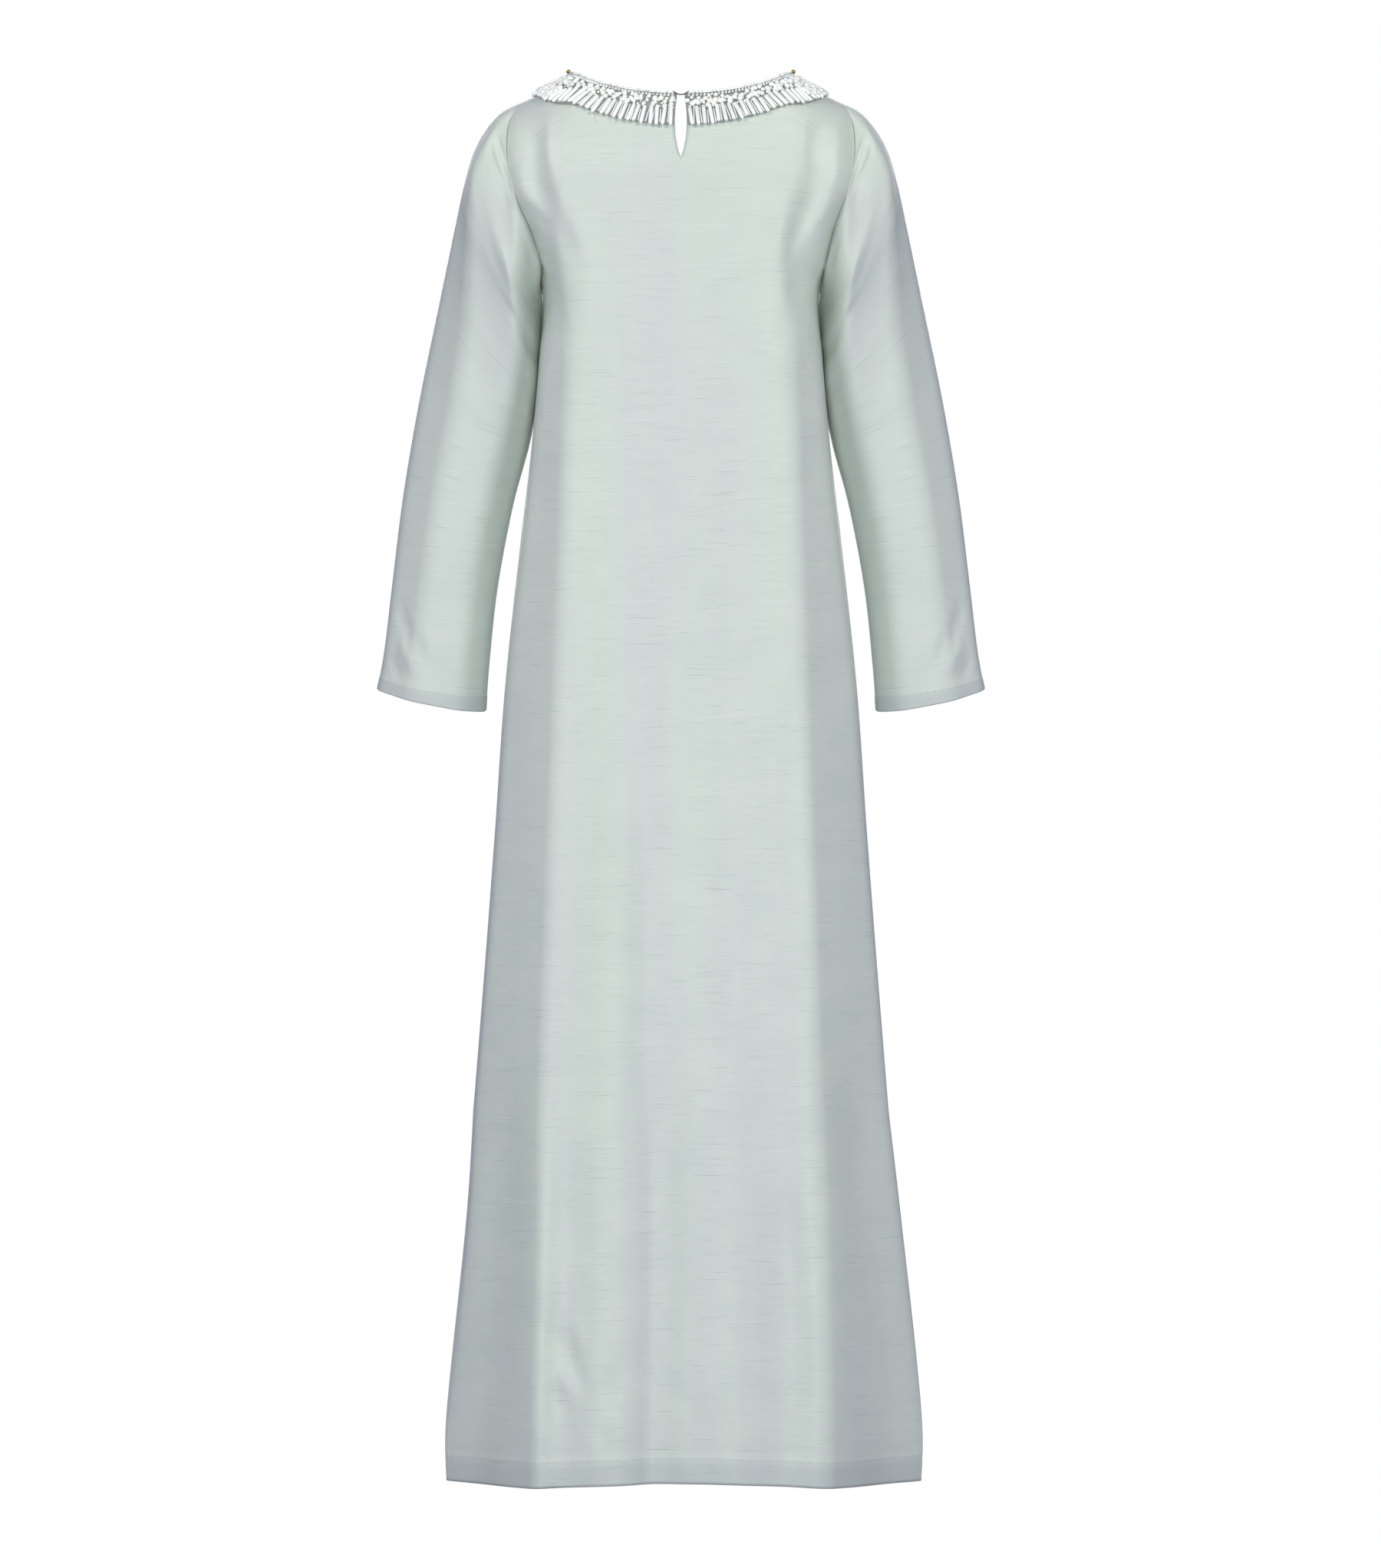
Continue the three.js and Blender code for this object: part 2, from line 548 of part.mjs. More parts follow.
// At the armhole seam both walls thicken along one direction, between the panel's normal and the sleeve's.
const armholeMitre = armholeLoop.map(({ normal }, i) => normal.clone().add(sleeveNormals[0][i]).normalize());

function sleeveGeometry() {
  const outer = sleeve.grid.map((row) => row.map((p) => p.clone()));
  outer[0].forEach((point, i) => {
    const leaving = sleeve.grid[1][i].clone().sub(point).normalize();
    const square = armholeMitre[i];
    leaving.addScaledVector(square, -leaving.dot(square)).normalize();
    point.addScaledVector(leaving, SEAM_GAP);
  });
  const inner = outer.map((row, r) =>
    row.map((p, i) => {
      const normal = r === 0 ? armholeMitre[i] : sleeveNormals[r][i];
      return p.clone().addScaledVector(normal, -(r >= sleeve.hemRow ? HEM_CLOTH : CLOTH));
    }),
  );
  return wallGeometry(outer, inner, true);
}

// ---- front and back panels ----
function panelGeometry(side) {
  const top = topEdge(side);
  const hemLine = downAt(side, LENGTH - HEM_DEPTH);
  const columns = Array.from({ length: 2 * HALF_COLUMNS + 1 }, (_, c) => c - HALF_COLUMNS);
  const stretches = [...PANEL_ROWS.map((share) => ({ share })), { down: hemLine }, { down: downAt(side, LENGTH) }];
  const outer = [];
  const inner = [];
  stretches.forEach(({ share, down: fixedDown }, r) => {
    const outerRow = [];
    const innerRow = [];
    columns.forEach((column) => {
      const rank = Math.abs(column);
      const sign = column < 0 ? -1 : 1;
      const [topX, topDown] = top[rank];
      const down = fixedDown ?? mix(topDown, hemLine - HEM_STEP, share);
      const topShare = rank === HALF_COLUMNS ? 1 : shareAt(side, crown(side, topDown).drop, topX);
      const topRatio = topShare / edgeShare(side, crown(side, topDown).drop);
      const fan = 1 - (1 - clamp01((down - topDown) / COLUMN_FAN)) ** 2;
      const spread = mix(topRatio, rank / HALF_COLUMNS, fan) * edgeShare(side, crown(side, down).drop);
      const girthShare = sign * (r === 0 ? topShare : spread);
      const point = clothPoint(side, girthShare, down);
      const normal = clothNormal(side, girthShare, down);
      const armholeRank = rank - NECK_COLUMNS - SHOULDER_COLUMNS;
      const onShoulder = r === 0 && rank >= NECK_COLUMNS && armholeRank <= 0;
      if (rank === HALF_COLUMNS && r > 0) {
        normal.y = 0;
        point.y += (side * SEAM_GAP) / 2;
      }
      if (onShoulder) normal.y = 0;
      if (r === 0 && armholeRank >= 0) {
        const place = side === BACK ? armholeRank : (AROUND - armholeRank) % AROUND;
        normal.copy(armholeMitre[place]);
        normal.x *= sign;
        if (armholeRank === 0 || rank === HALF_COLUMNS) normal.y = 0;
        if (rank === HALF_COLUMNS) point.y += (side * SEAM_GAP) / 2;
      }
      normal.normalize();
      outerRow.push(point);
      innerRow.push(point.clone().addScaledVector(normal, -(fixedDown ? HEM_CLOTH : CLOTH)));
    });
    outer.push(outerRow);
    inner.push(innerRow);
  });
  const geometry = wallGeometry(outer, inner, false);
  return side === BACK ? turnedInsideOut(geometry) : geometry;
}

// ---- collar ----
// Cloth point and normal at [across, down], with down negative over the front.
function yokePlace(across, down) {
  const side = down >= 0 ? BACK : FRONT;
  const reach = Math.abs(down);
  const share = Math.sign(across || 1) * shareAt(side, crown(side, reach).drop, Math.abs(across));
  return { point: clothPoint(side, share, reach), normal: clothNormal(side, share, reach) };
}

// Ends of the collar's columns, [across, down] at the neckline and at its outer edge, evenly spaced along
// the outer edge from the keyhole's left side, round over the front, to its right side.
function collarColumns(count) {
  const quarter = Math.PI / 2;
  const fine = COLLAR_FINE_STEPS;
  const startAngle = (edge, halfGap) => Math.acos((halfGap / edge.halfWidth) ** (edge.roundness / 2));
  const neckStart = startAngle(NECKLINE, COLLAR_END.neck);
  const edgeStart = startAngle(COLLAR_EDGE, COLLAR_END.edge);
  const place = (edge, start, turn) => {
    // turn runs 0 to 1 down the left side: back keyhole, shoulder at a half, centre front
    const side = turn <= 0.5 ? BACK : FRONT;
    const angle = side === BACK ? start * (1 - 2 * turn) : quarter * (2 * turn - 1);
    const [across, down] = neckEdge(edge, side, angle);
    return [across, side * down];
  };
  const turns = [0];
  const lengths = [0];
  let before = place(COLLAR_EDGE, edgeStart, 0);
  for (let i = 1; i <= fine; i += 1) {
    const next = place(COLLAR_EDGE, edgeStart, i / fine);
    lengths.push(lengths[i - 1] + Math.hypot(next[0] - before[0], next[1] - before[1]));
    turns.push(i / fine);
    before = next;
  }
  const half = count / 2;
  const left = Array.from({ length: half + 1 }, (_, i) => {
    const goal = (lengths[fine] * i) / half;
    let k = 0;
    while (k < fine - 1 && lengths[k + 1] < goal) k += 1;
    const turn = mix(turns[k], turns[k + 1], clamp01((goal - lengths[k]) / (lengths[k + 1] - lengths[k])));
    return [place(NECKLINE, neckStart, turn), place(COLLAR_EDGE, edgeStart, turn)];
  });
  const right = left.slice(0, half).reverse();
  return [...left, ...right.map((ends) => ends.map(([across, down]) => [-across, down]))];
}

function collarGeometry() {
  const columns = collarColumns(BUGLES * 2);
  const loops = columns.map(([neck, edge], i) => {
    const crest = i % 2 === 1;
    const at = (share, height) => {
      const { point, normal } = yokePlace(mix(neck[0], edge[0], share), mix(neck[1], edge[1], share));
      return point.addScaledVector(normal, height);
    };
    const face = COLLAR_ROWS.map((row) => at(row.across, COLLAR_LIFT + (crest ? row.crest : row.gap)));
    const underside = COLLAR_UNDERSIDE.map((share) => at(share, COLLAR_LIFT));
    return [...face, ...underside];
  });
  const positions = loops.flatMap((loop) => loop.flatMap((p) => [p.x, p.y, p.z]));
  const around = loops[0].length;
  const faces = [];
  for (let c = 0; c < loops.length - 1; c += 1) {
    for (let k = 0; k < around; k += 1) {
      const a = c * around + k;
      const b = c * around + ((k + 1) % around);
      faces.push(a, b, b + around, a, b + around, a + around);
    }
  }
  // An end is filled in the order of its loop, or against it at the start.
  const capEnd = (start, against) => {
    const contour = loops[start].map((p) => new THREE.Vector2(p.y, p.z));
    const flip = against === THREE.ShapeUtils.area(contour) > 0;
    THREE.ShapeUtils.triangulateShape(contour, []).forEach(([a, b, c]) => {
      const base = start * around;
      faces.push(base + a, base + (flip ? c : b), base + (flip ? b : c));
    });
  };
  capEnd(0, true);
  capEnd(loops.length - 1, false);
  const geometry = new THREE.BufferGeometry();
  geometry.setAttribute("position", new THREE.Float32BufferAttribute(positions, 3));
  geometry.setIndex(faces);
  return geometry;
}

// ---- keyhole, thread loop, neck beads ----
const wasm = await Module();
wasm.setup();

function solidOf(geometry) {
  const bare = geometry.clone();
  Object.keys(bare.attributes)
    .filter((name) => name !== "position")
    .forEach((name) => bare.deleteAttribute(name));
  const merged = mergeVertices(bare, 1e-4);
  return new wasm.Manifold(
    new wasm.Mesh({
      numProp: 3,
      vertProperties: Float32Array.from(merged.attributes.position.array),
      triVerts: Uint32Array.from(merged.index.array),
    }),
  );
}

function geometryOf(solid) {
  const mesh = solid.getMesh();
  const geometry = new THREE.BufferGeometry();
  geometry.setAttribute("position", new THREE.BufferAttribute(Float32Array.from(mesh.vertProperties), 3));
  geometry.setIndex(new THREE.BufferAttribute(Uint32Array.from(mesh.triVerts), 1));
  return geometry;
}

function keyholeCutter() {
  const { top, widest, topZ, widestZ, bottomZ, above, below, point } = KEYHOLE;
  const upper = mix(topZ, widestZ, above);
  const lower = mix(widestZ, bottomZ, below);
  const leaf = new THREE.Shape();
  leaf.moveTo(top, topZ);
  leaf.quadraticCurveTo(widest, upper, widest, widestZ);
  leaf.quadraticCurveTo(widest * point, lower, 0, bottomZ);
  leaf.quadraticCurveTo(-widest * point, lower, -widest, widestZ);
  leaf.quadraticCurveTo(-widest, upper, -top, topZ);
  leaf.closePath();
  const prism = new THREE.ExtrudeGeometry(leaf, { depth: CUTTER_REACH, bevelEnabled: false, curveSegments: 6 });
  return prism.rotateX(Math.PI / 2).translate(0, CUTTER_REACH, 0);
}

function backPanelGeometry() {
  return geometryOf(solidOf(panelGeometry(BACK)).subtract(solidOf(keyholeCutter())));
}

function loopGeometry() {
  const stops = [-1, -0.55, 0, 0.55, 1].map((share) => {
    const sag = LOOP.sag * (1 - share * share);
    const { point, normal } = yokePlace(LOOP.reach * share, LOOP.down + sag);
    return point.addScaledVector(normal, LOOP.lift);
  });
  const path = new THREE.CatmullRomCurve3(stops);
  const section = new THREE.Shape().absarc(0, 0, LOOP.radius, 0, 2 * Math.PI);
  return new THREE.ExtrudeGeometry(section, { steps: 10, curveSegments: 4, extrudePath: path, bevelEnabled: false });
}

function neckBeadGeometry() {
  const { point, normal } = yokePlace(NECK_BEAD.across, 0);
  point.addScaledVector(normal, NECK_BEAD.lift);
  return new THREE.SphereGeometry(NECK_BEAD.radius, 8, 6).translate(point.x, point.y, point.z);
}

// ---- the garment ----
const silk = () => new THREE.MeshStandardMaterial({ color: 0xd2dcd4, roughness: 0.45, side: THREE.DoubleSide });
const glass = () => new THREE.MeshStandardMaterial({ color: 0xeef4f2, roughness: 0.15 });
const thread = () => new THREE.MeshStandardMaterial({ color: 0x565856, roughness: 0.8 });
const gold = () => new THREE.MeshStandardMaterial({ color: 0xb08a3e, roughness: 0.3, metalness: 0.9 });

const kaftan = new THREE.Group();
function sew(name, geometry, material) {
  const mesh = new THREE.Mesh(geometry, material);
  mesh.name = name;
  kaftan.add(mesh);
}

const leftSleeve = sleeveGeometry();
const leftBead = neckBeadGeometry();
sew("front_panel", panelGeometry(FRONT), silk());
sew("back_panel", backPanelGeometry(), silk());
sew("sleeve_left", leftSleeve, silk());
sew("sleeve_right", mirrored(leftSleeve), silk());
sew("beaded_collar", collarGeometry(), glass());
sew("neck_loop", loopGeometry(), thread());
sew("neck_bead_left", leftBead, gold());
sew("neck_bead_right", mirrored(leftBead), gold());

export default kaftan;
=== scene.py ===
"""A full-length silk dupion kaftan, hollow as it hangs on its wearer's shoulders, seen from the back."""
import math

import bmesh
import bpy
import numpy as np
from mathutils import Matrix, Vector

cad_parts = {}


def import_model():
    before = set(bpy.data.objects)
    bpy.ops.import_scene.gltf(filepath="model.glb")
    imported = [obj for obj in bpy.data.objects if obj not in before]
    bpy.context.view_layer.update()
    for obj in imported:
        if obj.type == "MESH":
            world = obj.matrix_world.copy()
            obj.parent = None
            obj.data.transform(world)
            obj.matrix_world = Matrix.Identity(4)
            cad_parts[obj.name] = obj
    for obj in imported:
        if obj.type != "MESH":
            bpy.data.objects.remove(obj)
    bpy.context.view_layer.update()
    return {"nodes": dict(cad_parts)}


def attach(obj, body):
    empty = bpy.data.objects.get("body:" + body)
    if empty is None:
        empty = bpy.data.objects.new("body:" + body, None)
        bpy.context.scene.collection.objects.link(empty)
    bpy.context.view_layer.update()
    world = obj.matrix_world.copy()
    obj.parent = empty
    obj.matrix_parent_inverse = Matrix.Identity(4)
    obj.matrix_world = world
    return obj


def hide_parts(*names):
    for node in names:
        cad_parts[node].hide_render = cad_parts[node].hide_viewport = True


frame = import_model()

MM = 0.001
BACK, FRONT = 1, -1
RNG = np.random.default_rng(11)

# ---- the garment's sizes, in millimetres, as it was cut and draped ----
LENGTH = 1466
HEM_DEPTH = 27
SEAM_GAP = 0.3
CLOTH_THICKNESS = 1.2
NECK_HALF_WIDTH = 111
SHOULDER_POINT = 168
UNDERARM_DROP = 222
CROWN_DROP = 110
CROWN_RADIUS = {BACK: 104, FRONT: 112}
NECKLINE = {"half_width": NECK_HALF_WIDTH, BACK: 74, FRONT: 146, "roundness": 2.6}
COLLAR_EDGE = {"half_width": 154, BACK: 118, FRONT: 190, "roundness": 2.4}


def table(names, rows):
    """Named columns from rows of numbers."""
    return dict(zip(names.split(), np.array(rows, float).T))


# Half girths down the body. The back runs from its centre out to `flat`, turns away to (`turn`, `back_turn`)
# and ends at the side seam (`half`, `seam_y`); the front is built alike. A bend reaches `ease` each way.
GIRTHS = table("drop half flat turn back back_turn front front_turn seam_y ease", [
    (0, 215, 158, 200, 98, 26, 112, 30, 0, 48),
    (110, 215, 158, 200, 98, 26, 114, 30, 0, 48),
    (150, 197, 142, 184, 98, 30, 116, 33, -2, 44),
    (190, 166, 121, 157, 98, 47, 118, 46, -4, 36),
    (222, 145.5, 112, 139, 98, 63, 119, 60, -5, 28),
    (300, 148.5, 113, 143.5, 95, 58, 117, 57, -5, 17),
    (390, 156, 118, 152, 92, 50, 114, 51, -4, 13),
    (480, 166.5, 121, 162.5, 91, 45, 113, 48, -3, 12),
    (640, 183.5, 127, 180.5, 92, 36, 114, 40, 0, 11),
    (790, 194, 133, 191.5, 95, 34, 117, 39, 0, 10),
    (980, 208.5, 140, 206.5, 101, 29, 121, 39, 0, 9),
    (1170, 224.5, 146, 222.5, 107, 21, 127, 35, 0, 8),
    (1350, 243.5, 151, 241.5, 113, 10, 133, 30, 0, 8),
    (1420, 249, 152, 247, 115, 7, 135, 29, 0, 8),
    (1466, 247.5, 152, 245.5, 115, 7, 135, 30, 0, 8),
])
GIRTH_SHARES = np.array([0, 0.5, 0.78, 1])
SWAY = table("drop x", [(1080, 0), (1170, -2.6), (1280, -3.4), (1466, -3)])
SHOULDER_LINE = table("x z", [
    (0, 0), (104, 0), (128, -11.5), (152, -23.5), (168, -30.5), (182, -36), (215, -43),
])
SHOULDER_FADE = 220
ARMHOLE = {
    BACK: table("x drop", [
        (168, 0), (173, 8), (178, 20), (180, 45), (178.5, 76), (172, 112), (161, 150), (152, 190),
        (145.5, 222),
    ]),
    FRONT: table("x drop", [
        (168, 0), (171, 8), (174, 20), (174, 45), (171, 76), (164, 112), (155, 150), (149, 190),
        (145.5, 222),
    ]),
}
# Soft upright folds: share of the half girth where each starts, how far it leans by its lower end, the drops
# where it starts and ends, its reach towards the right and towards the left, and its height.
FOLDS = {
    BACK: table("share lean start end right left height", [
        (0.48, 0, 22, 225, 0.075, 0.075, -2),
        (-0.48, 0, 22, 225, 0.075, 0.075, -2),
        (0.252, -0.02, 620, LENGTH, 0.13, 0.19, 7),
        (0.085, 0.02, 1010, LENGTH, 0.11, 0.07, -3.2),
        (0.41, 0.01, 1060, LENGTH, 0.12, 0.085, -3.6),
        (-0.13, 0.03, 940, LENGTH, 0.2, 0.17, 3.2),
        (-0.36, -0.015, 1120, LENGTH, 0.09, 0.13, -3.6),
        (-0.45, 0.01, 880, LENGTH, 0.06, 0.1, 2.6),
        (0.65, 0.02, 1000, LENGTH, 0.13, 0.1, -3),
        (-0.66, -0.02, 960, LENGTH, 0.1, 0.14, -3.5),
    ]),
    FRONT: table("share lean start end right left height", [
        (0.48, 0, 26, 235, 0.08, 0.08, -6),
        (-0.48, 0, 26, 230, 0.08, 0.08, -6.5),
        (-0.25, 0.03, 760, LENGTH, 0.18, 0.11, 6),
        (-0.07, -0.02, 900, LENGTH, 0.1, 0.13, -3.5),
        (0.1, 0.02, 940, LENGTH, 0.13, 0.16, 3),
        (0.36, -0.03, 860, LENGTH, 0.1, 0.14, -4.5),
        (-0.65, 0, 1010, LENGTH, 0.1, 0.12, -3),
        (0.65, 0.02, 980, LENGTH, 0.13, 0.1, -3.5),
    ]),
}
FOLD_RISE = 0.35  # share of a fold's length over which it rises, and over which it dies away
FOLD_END = 0.25
FOLD_CALM = 8  # the higher, the closer the folds come to the side seams
SLEEVE_RINGS = table("out_x out_z in_x in_z depth mid_y bow dip", [
    (187, -39.5, 144.8, -231, 72, -7, 20, 0),
    (208, -67.5, 144, -243, 78, -16, 22, 0),
    (223, -106, 143, -262, 77, -23, 18, 0),
    (236.8, -160, 143.5, -290, 72, -30, 11, 1),
    (254.5, -243, 148, -332, 64, -35, 5, 2),
    (274.5, -340, 158.5, -384, 56, -38, 0, 3),
    (291, -437, 176, -449, 49, -39, 0, 4),
    (302.5, -529, 192, -534, 42, -40, 0, 5),
    (311, -600, 200.5, -612, 37, -40, 0, 6),
    (318.4, -640, 204.2, -662, 34, -41, 0, 7),
])
SLEEVE_SECTION = np.array([(1, 0), (0.95, 0.32), (0.38, 1), (-0.7, 1), (-0.97, 0.45), (-1, 0)], float)
SLEEVE_EASE = 0.22
SLEEVE_CLEARANCE = 0.6
UNDERARM_TOUCH = -0.25  # at the underarm itself, where the sleeve is pressed a little into the side
CLEARANCE_GROWTH = 90  # drop below the underarm over which it opens
# How far out the flat back of the sleeve runs at its cap, and the ring by which that is over. Then where it
# ends towards the body from the elbow down, and the ring and the number of rings over which it gets there.
FULL_CAP, FULL_CAP_RINGS = 0.68, 5
LOWER_INNER_CORNER, ELBOW_RING, ELBOW_RINGS = -0.52, 2, 3
# Folds of the sleeve's cap that run down to the armhole, seen square on: their ends, width and height.
CAP_FOLDS = table("from_x from_z to_x to_z width height", [
    (197, -72, 167, -142, 5.5, -3.6),
    (186, -66, 169, -128, 4.5, -2.8),
    (173, -130, 153, -198, 8, -2.4),
    (192, -68, 178, -102, 6, 1.8),
])
KEYHOLE = table("z half", [(-97, 0), (-86, 3.6), (-72, 6.1), (-56, 7), (-30, 5.6), (-8, 3.2)])
KEYHOLE_EASE = 24  # how far from its middle the cloth makes room for it

# Columns of a half panel, from its centre to the side, up to each corner of its top edge.
NECK_RANKS, SHOULDER_RANKS, ARMHOLE_RANKS = 7, 3, 10
HALF_RANKS = NECK_RANKS + SHOULDER_RANKS + ARMHOLE_RANKS
COLUMN_FAN = 250  # distance down the cloth over which they spread from the top edge to even spacing
SHARE_STEPS, SIDE_STEPS = 24, 20  # halvings with which a place across the cloth is found


# ---- small helpers ----
def mix(a, b, share):
    return a + (b - a) * share


def smooth(v):
    share = np.clip(v, 0, 1)
    return share * share * (3 - 2 * share)


def bump(distance, width):
    """1 along a fold's line, 0 from its width out."""
    share = np.clip(1 - (distance / width) ** 2, 0, 1)
    return share * share


def unit(v):
    return v / np.maximum(np.linalg.norm(v, axis=-1, keepdims=True), 1e-9)


def curve_at(rows, column, at, key="drop"):
    """One column of a table at a key, along a smooth curve through its rows."""
    x, y = rows[key], rows[column]
    n = len(x)
    low, high = np.maximum(np.arange(n) - 1, 0), np.minimum(np.arange(n) + 1, n - 1)
    slope = (y[high] - y[low]) / (x[high] - x[low])
    at = np.clip(at, x[0], x[-1])
    i = np.clip(np.searchsorted(x, at, side="right") - 1, 0, n - 2)
    span = x[i + 1] - x[i]
    f = (at - x[i]) / span
    return (
        (2 * f**3 - 3 * f**2 + 1) * y[i]
        + (f**3 - 2 * f**2 + f) * span * slope[i]
        + (3 * f**2 - 2 * f**3) * y[i + 1]
        + (f**3 - f**2) * span * slope[i + 1]
    )


def eased_path(corners, shares, ease, share):
    """Points at shares of paths of straight stretches whose inner corners are eased."""
    corners = np.array(corners)
    runs = np.diff(corners, axis=0)
    lengths = np.linalg.norm(runs, axis=2)
    ways = runs / lengths[..., None]
    k = np.searchsorted(shares[1:-1], share, side="left")
    n = np.arange(len(share))
    f = np.clip((share - shares[k]) / (shares[k + 1] - shares[k]), 0, 1)
    out = corners[k, n] + (f * lengths[k, n])[:, None] * ways[k, n]
    for c in range(1, len(corners) - 1):
        reach = np.minimum(ease, np.minimum(lengths[c - 1], lengths[c]) / 2)
        near = np.where(k == c, f * lengths[c], np.where(k == c - 1, (f - 1) * lengths[c - 1], 1e6))
        p = np.clip(0.5 + near / (2 * reach), 0, 1)
        bend = (
            corners[c]
            - ((1 - p) ** 2 * reach)[:, None] * ways[c - 1]
            + (p**2 * reach)[:, None] * ways[c]
        )
        out = np.where((np.abs(near) < reach)[:, None], bend, out)
    return out


# ---- the draped cloth ----
def crown(side, down):
    """Drop below the shoulder line and share of its depth that the cloth has come out to."""
    radius = CROWN_RADIUS[side]
    arc = radius * math.pi / 2
    turn = np.minimum(down, arc) / radius
    return CROWN_DROP * (1 - np.cos(turn)) + np.maximum(down - arc, 0), np.sin(turn)


def down_at(side, drop):
    """Distance down the cloth at which it has dropped this far."""
    radius = CROWN_RADIUS[side]
    turned = radius * np.arccos(1 - np.clip(drop / CROWN_DROP, 0, 1))
    return turned + np.maximum(np.asarray(drop, float) - CROWN_DROP, 0)


def girth_point(side, drop, share):
    at = {name: curve_at(GIRTHS, name, drop) for name in GIRTHS if name != "drop"}
    name = "back" if side == BACK else "front"
    depth = side * at[name]
    corners = [
        np.stack([np.zeros_like(depth), depth], 1),
        np.stack([at["flat"], depth], 1),
        np.stack([at["turn"], side * at[name + "_turn"]], 1),
        np.stack([at["half"], at["seam_y"]], 1),
    ]
    return eased_path(corners, GIRTH_SHARES, at["ease"], share)


def share_at(side, drop, x):
    low, high = np.zeros_like(x), np.ones_like(x)
    for _ in range(SHARE_STEPS):
        middle = (low + high) / 2
        inside = girth_point(side, drop, middle)[:, 0] < x
        low, high = np.where(inside, middle, low), np.where(inside, high, middle)
    return (low + high) / 2


def smooth_cloth(side, share, down):
    """Cloth with no folds; share runs from -1 at the right side seam to 1 at the left."""
    drop, out = crown(side, down)
    girth = girth_point(side, drop, np.abs(share))
    across = girth[:, 0]
    x = np.sign(share) * across + curve_at(SWAY, "x", drop)
    z = -drop + curve_at(SHOULDER_LINE, "z", across, "x") * (1 - smooth(drop / SHOULDER_FADE))
    return np.stack([x, girth[:, 1] * out, z], 1)


def cloth_normal(side, share, down):
    step, reach = 0.004, 0.5
    across = smooth_cloth(side, np.minimum(share + step, 1), down)
    across -= smooth_cloth(side, np.maximum(share - step, -1), down)
    downward = smooth_cloth(side, share, down + reach) - smooth_cloth(side, share, down - reach)
    return unit(side * np.cross(across, downward))


def fold_height(side, share, drop):
    total = np.zeros_like(share)
    for at, lean, start, end, right, left, height in zip(*FOLDS[side].values()):
        along = (drop - start) / (end - start)
        dies = smooth((1 - along) / FOLD_END) if end < LENGTH else 1
        away = share - at - lean * np.clip(along, 0, 1)
        reach = np.where(away > 0, left, right)
        total += height * smooth(along / FOLD_RISE) * dies * bump(away, reach)
    return total


def cloth_point(side, share, down):
    height = fold_height(side, share, crown(side, down)[0]) * (1 - np.abs(share) ** FOLD_CALM)
    return smooth_cloth(side, share, down) + cloth_normal(side, share, down) * height[:, None]


# ---- edges of the panels ----
def neck_edge(edge, side, angle):
    power = 2 / edge["roundness"]
    return (
        edge["half_width"] * np.clip(np.cos(angle), 0, 1) ** power,
        edge[side] * np.clip(np.sin(angle), 0, 1) ** power,
    )


def edge_share(side, drop):
    x = curve_at(ARMHOLE[side], "x", drop)
    return np.where(drop >= UNDERARM_DROP, 1, share_at(side, np.minimum(drop, UNDERARM_DROP), x))


def armhole_at(side, share):
    """Armhole points, [across, down the cloth], at shares of its length from the shoulder point."""
    drop = np.linspace(0, UNDERARM_DROP, 400)
    x, down = curve_at(ARMHOLE[side], "x", drop), down_at(side, drop)
    length = np.concatenate([[0], np.cumsum(np.hypot(np.diff(x), np.diff(down)))])
    at = share * length[-1]
    return np.interp(at, length, x), np.interp(at, length, down)


def top_edge(side, rank):
    """Top edge of a half panel, [across, down the cloth], at ranks from the centre to the underarm."""
    x, down = neck_edge(NECKLINE, side, math.pi / 2 * (1 - np.clip(rank / NECK_RANKS, 0, 1)))
    shoulder = (rank - NECK_RANKS) / SHOULDER_RANKS
    x = np.where(shoulder > 0, mix(NECK_HALF_WIDTH, SHOULDER_POINT, shoulder), x)
    down = np.where(shoulder > 0, SEAM_GAP / 2, down)
    arm_x, arm_down = armhole_at(side, np.clip((rank - NECK_RANKS - SHOULDER_RANKS) / ARMHOLE_RANKS, 0, 1))
    on_arm = rank >= NECK_RANKS + SHOULDER_RANKS
    return np.where(on_arm, arm_x, x), np.where(on_arm, np.maximum(arm_down, SEAM_GAP / 2), down)


# ---- meshes from grids ----
def finished(name, bm, material, replaces=()):
    """The piece's object at the origin, riding on the root and standing for the nodes it replaces."""
    mesh = bpy.data.meshes.new(name)
    bm.to_mesh(mesh)
    bm.free()
    piece = bpy.data.objects.new(name, mesh)
    bpy.context.scene.collection.objects.link(piece)
    for polygon in mesh.polygons:
        polygon.use_smooth = True
    mesh.materials.append(material)
    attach(piece, "root")
    if replaces:
        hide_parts(*replaces)
    return piece


def cloth_grid(place, columns, rows):
    """A grid whose points and cloth coordinates, in metres, place(column, row) gives."""
    bm = bmesh.new()
    bmesh.ops.create_grid(bm, x_segments=columns, y_segments=rows, size=0.5)
    bm.verts.ensure_lookup_table()
    flat = np.array([v.co[:2] for v in bm.verts]) + 0.5
    points, cloth = place(flat[:, 0], flat[:, 1])
    for vert, point in zip(bm.verts, points * MM):
        vert.co = point
    bm.verts.index_update()
    uv = bm.loops.layers.uv.new("cloth")
    for face in bm.faces:
        for loop in face.loops:
            loop[uv].uv = cloth[loop.vert.index] * MM
    return bm


def thickened(piece, thickness):
    shell = piece.modifiers.new("cloth", "SOLIDIFY")
    shell.thickness = thickness * MM
    shell.offset = -1
    shell.use_even_offset = False


# ---- front and back panels ----
COLUMNS_A_RANK = 5
PANEL_ROWS = 196
HEM_ROWS = 8
HEM_RISE = {"height": 7, "reach": 0.75, "start": 1300, "over": 160}  # how the hem lifts towards the centre
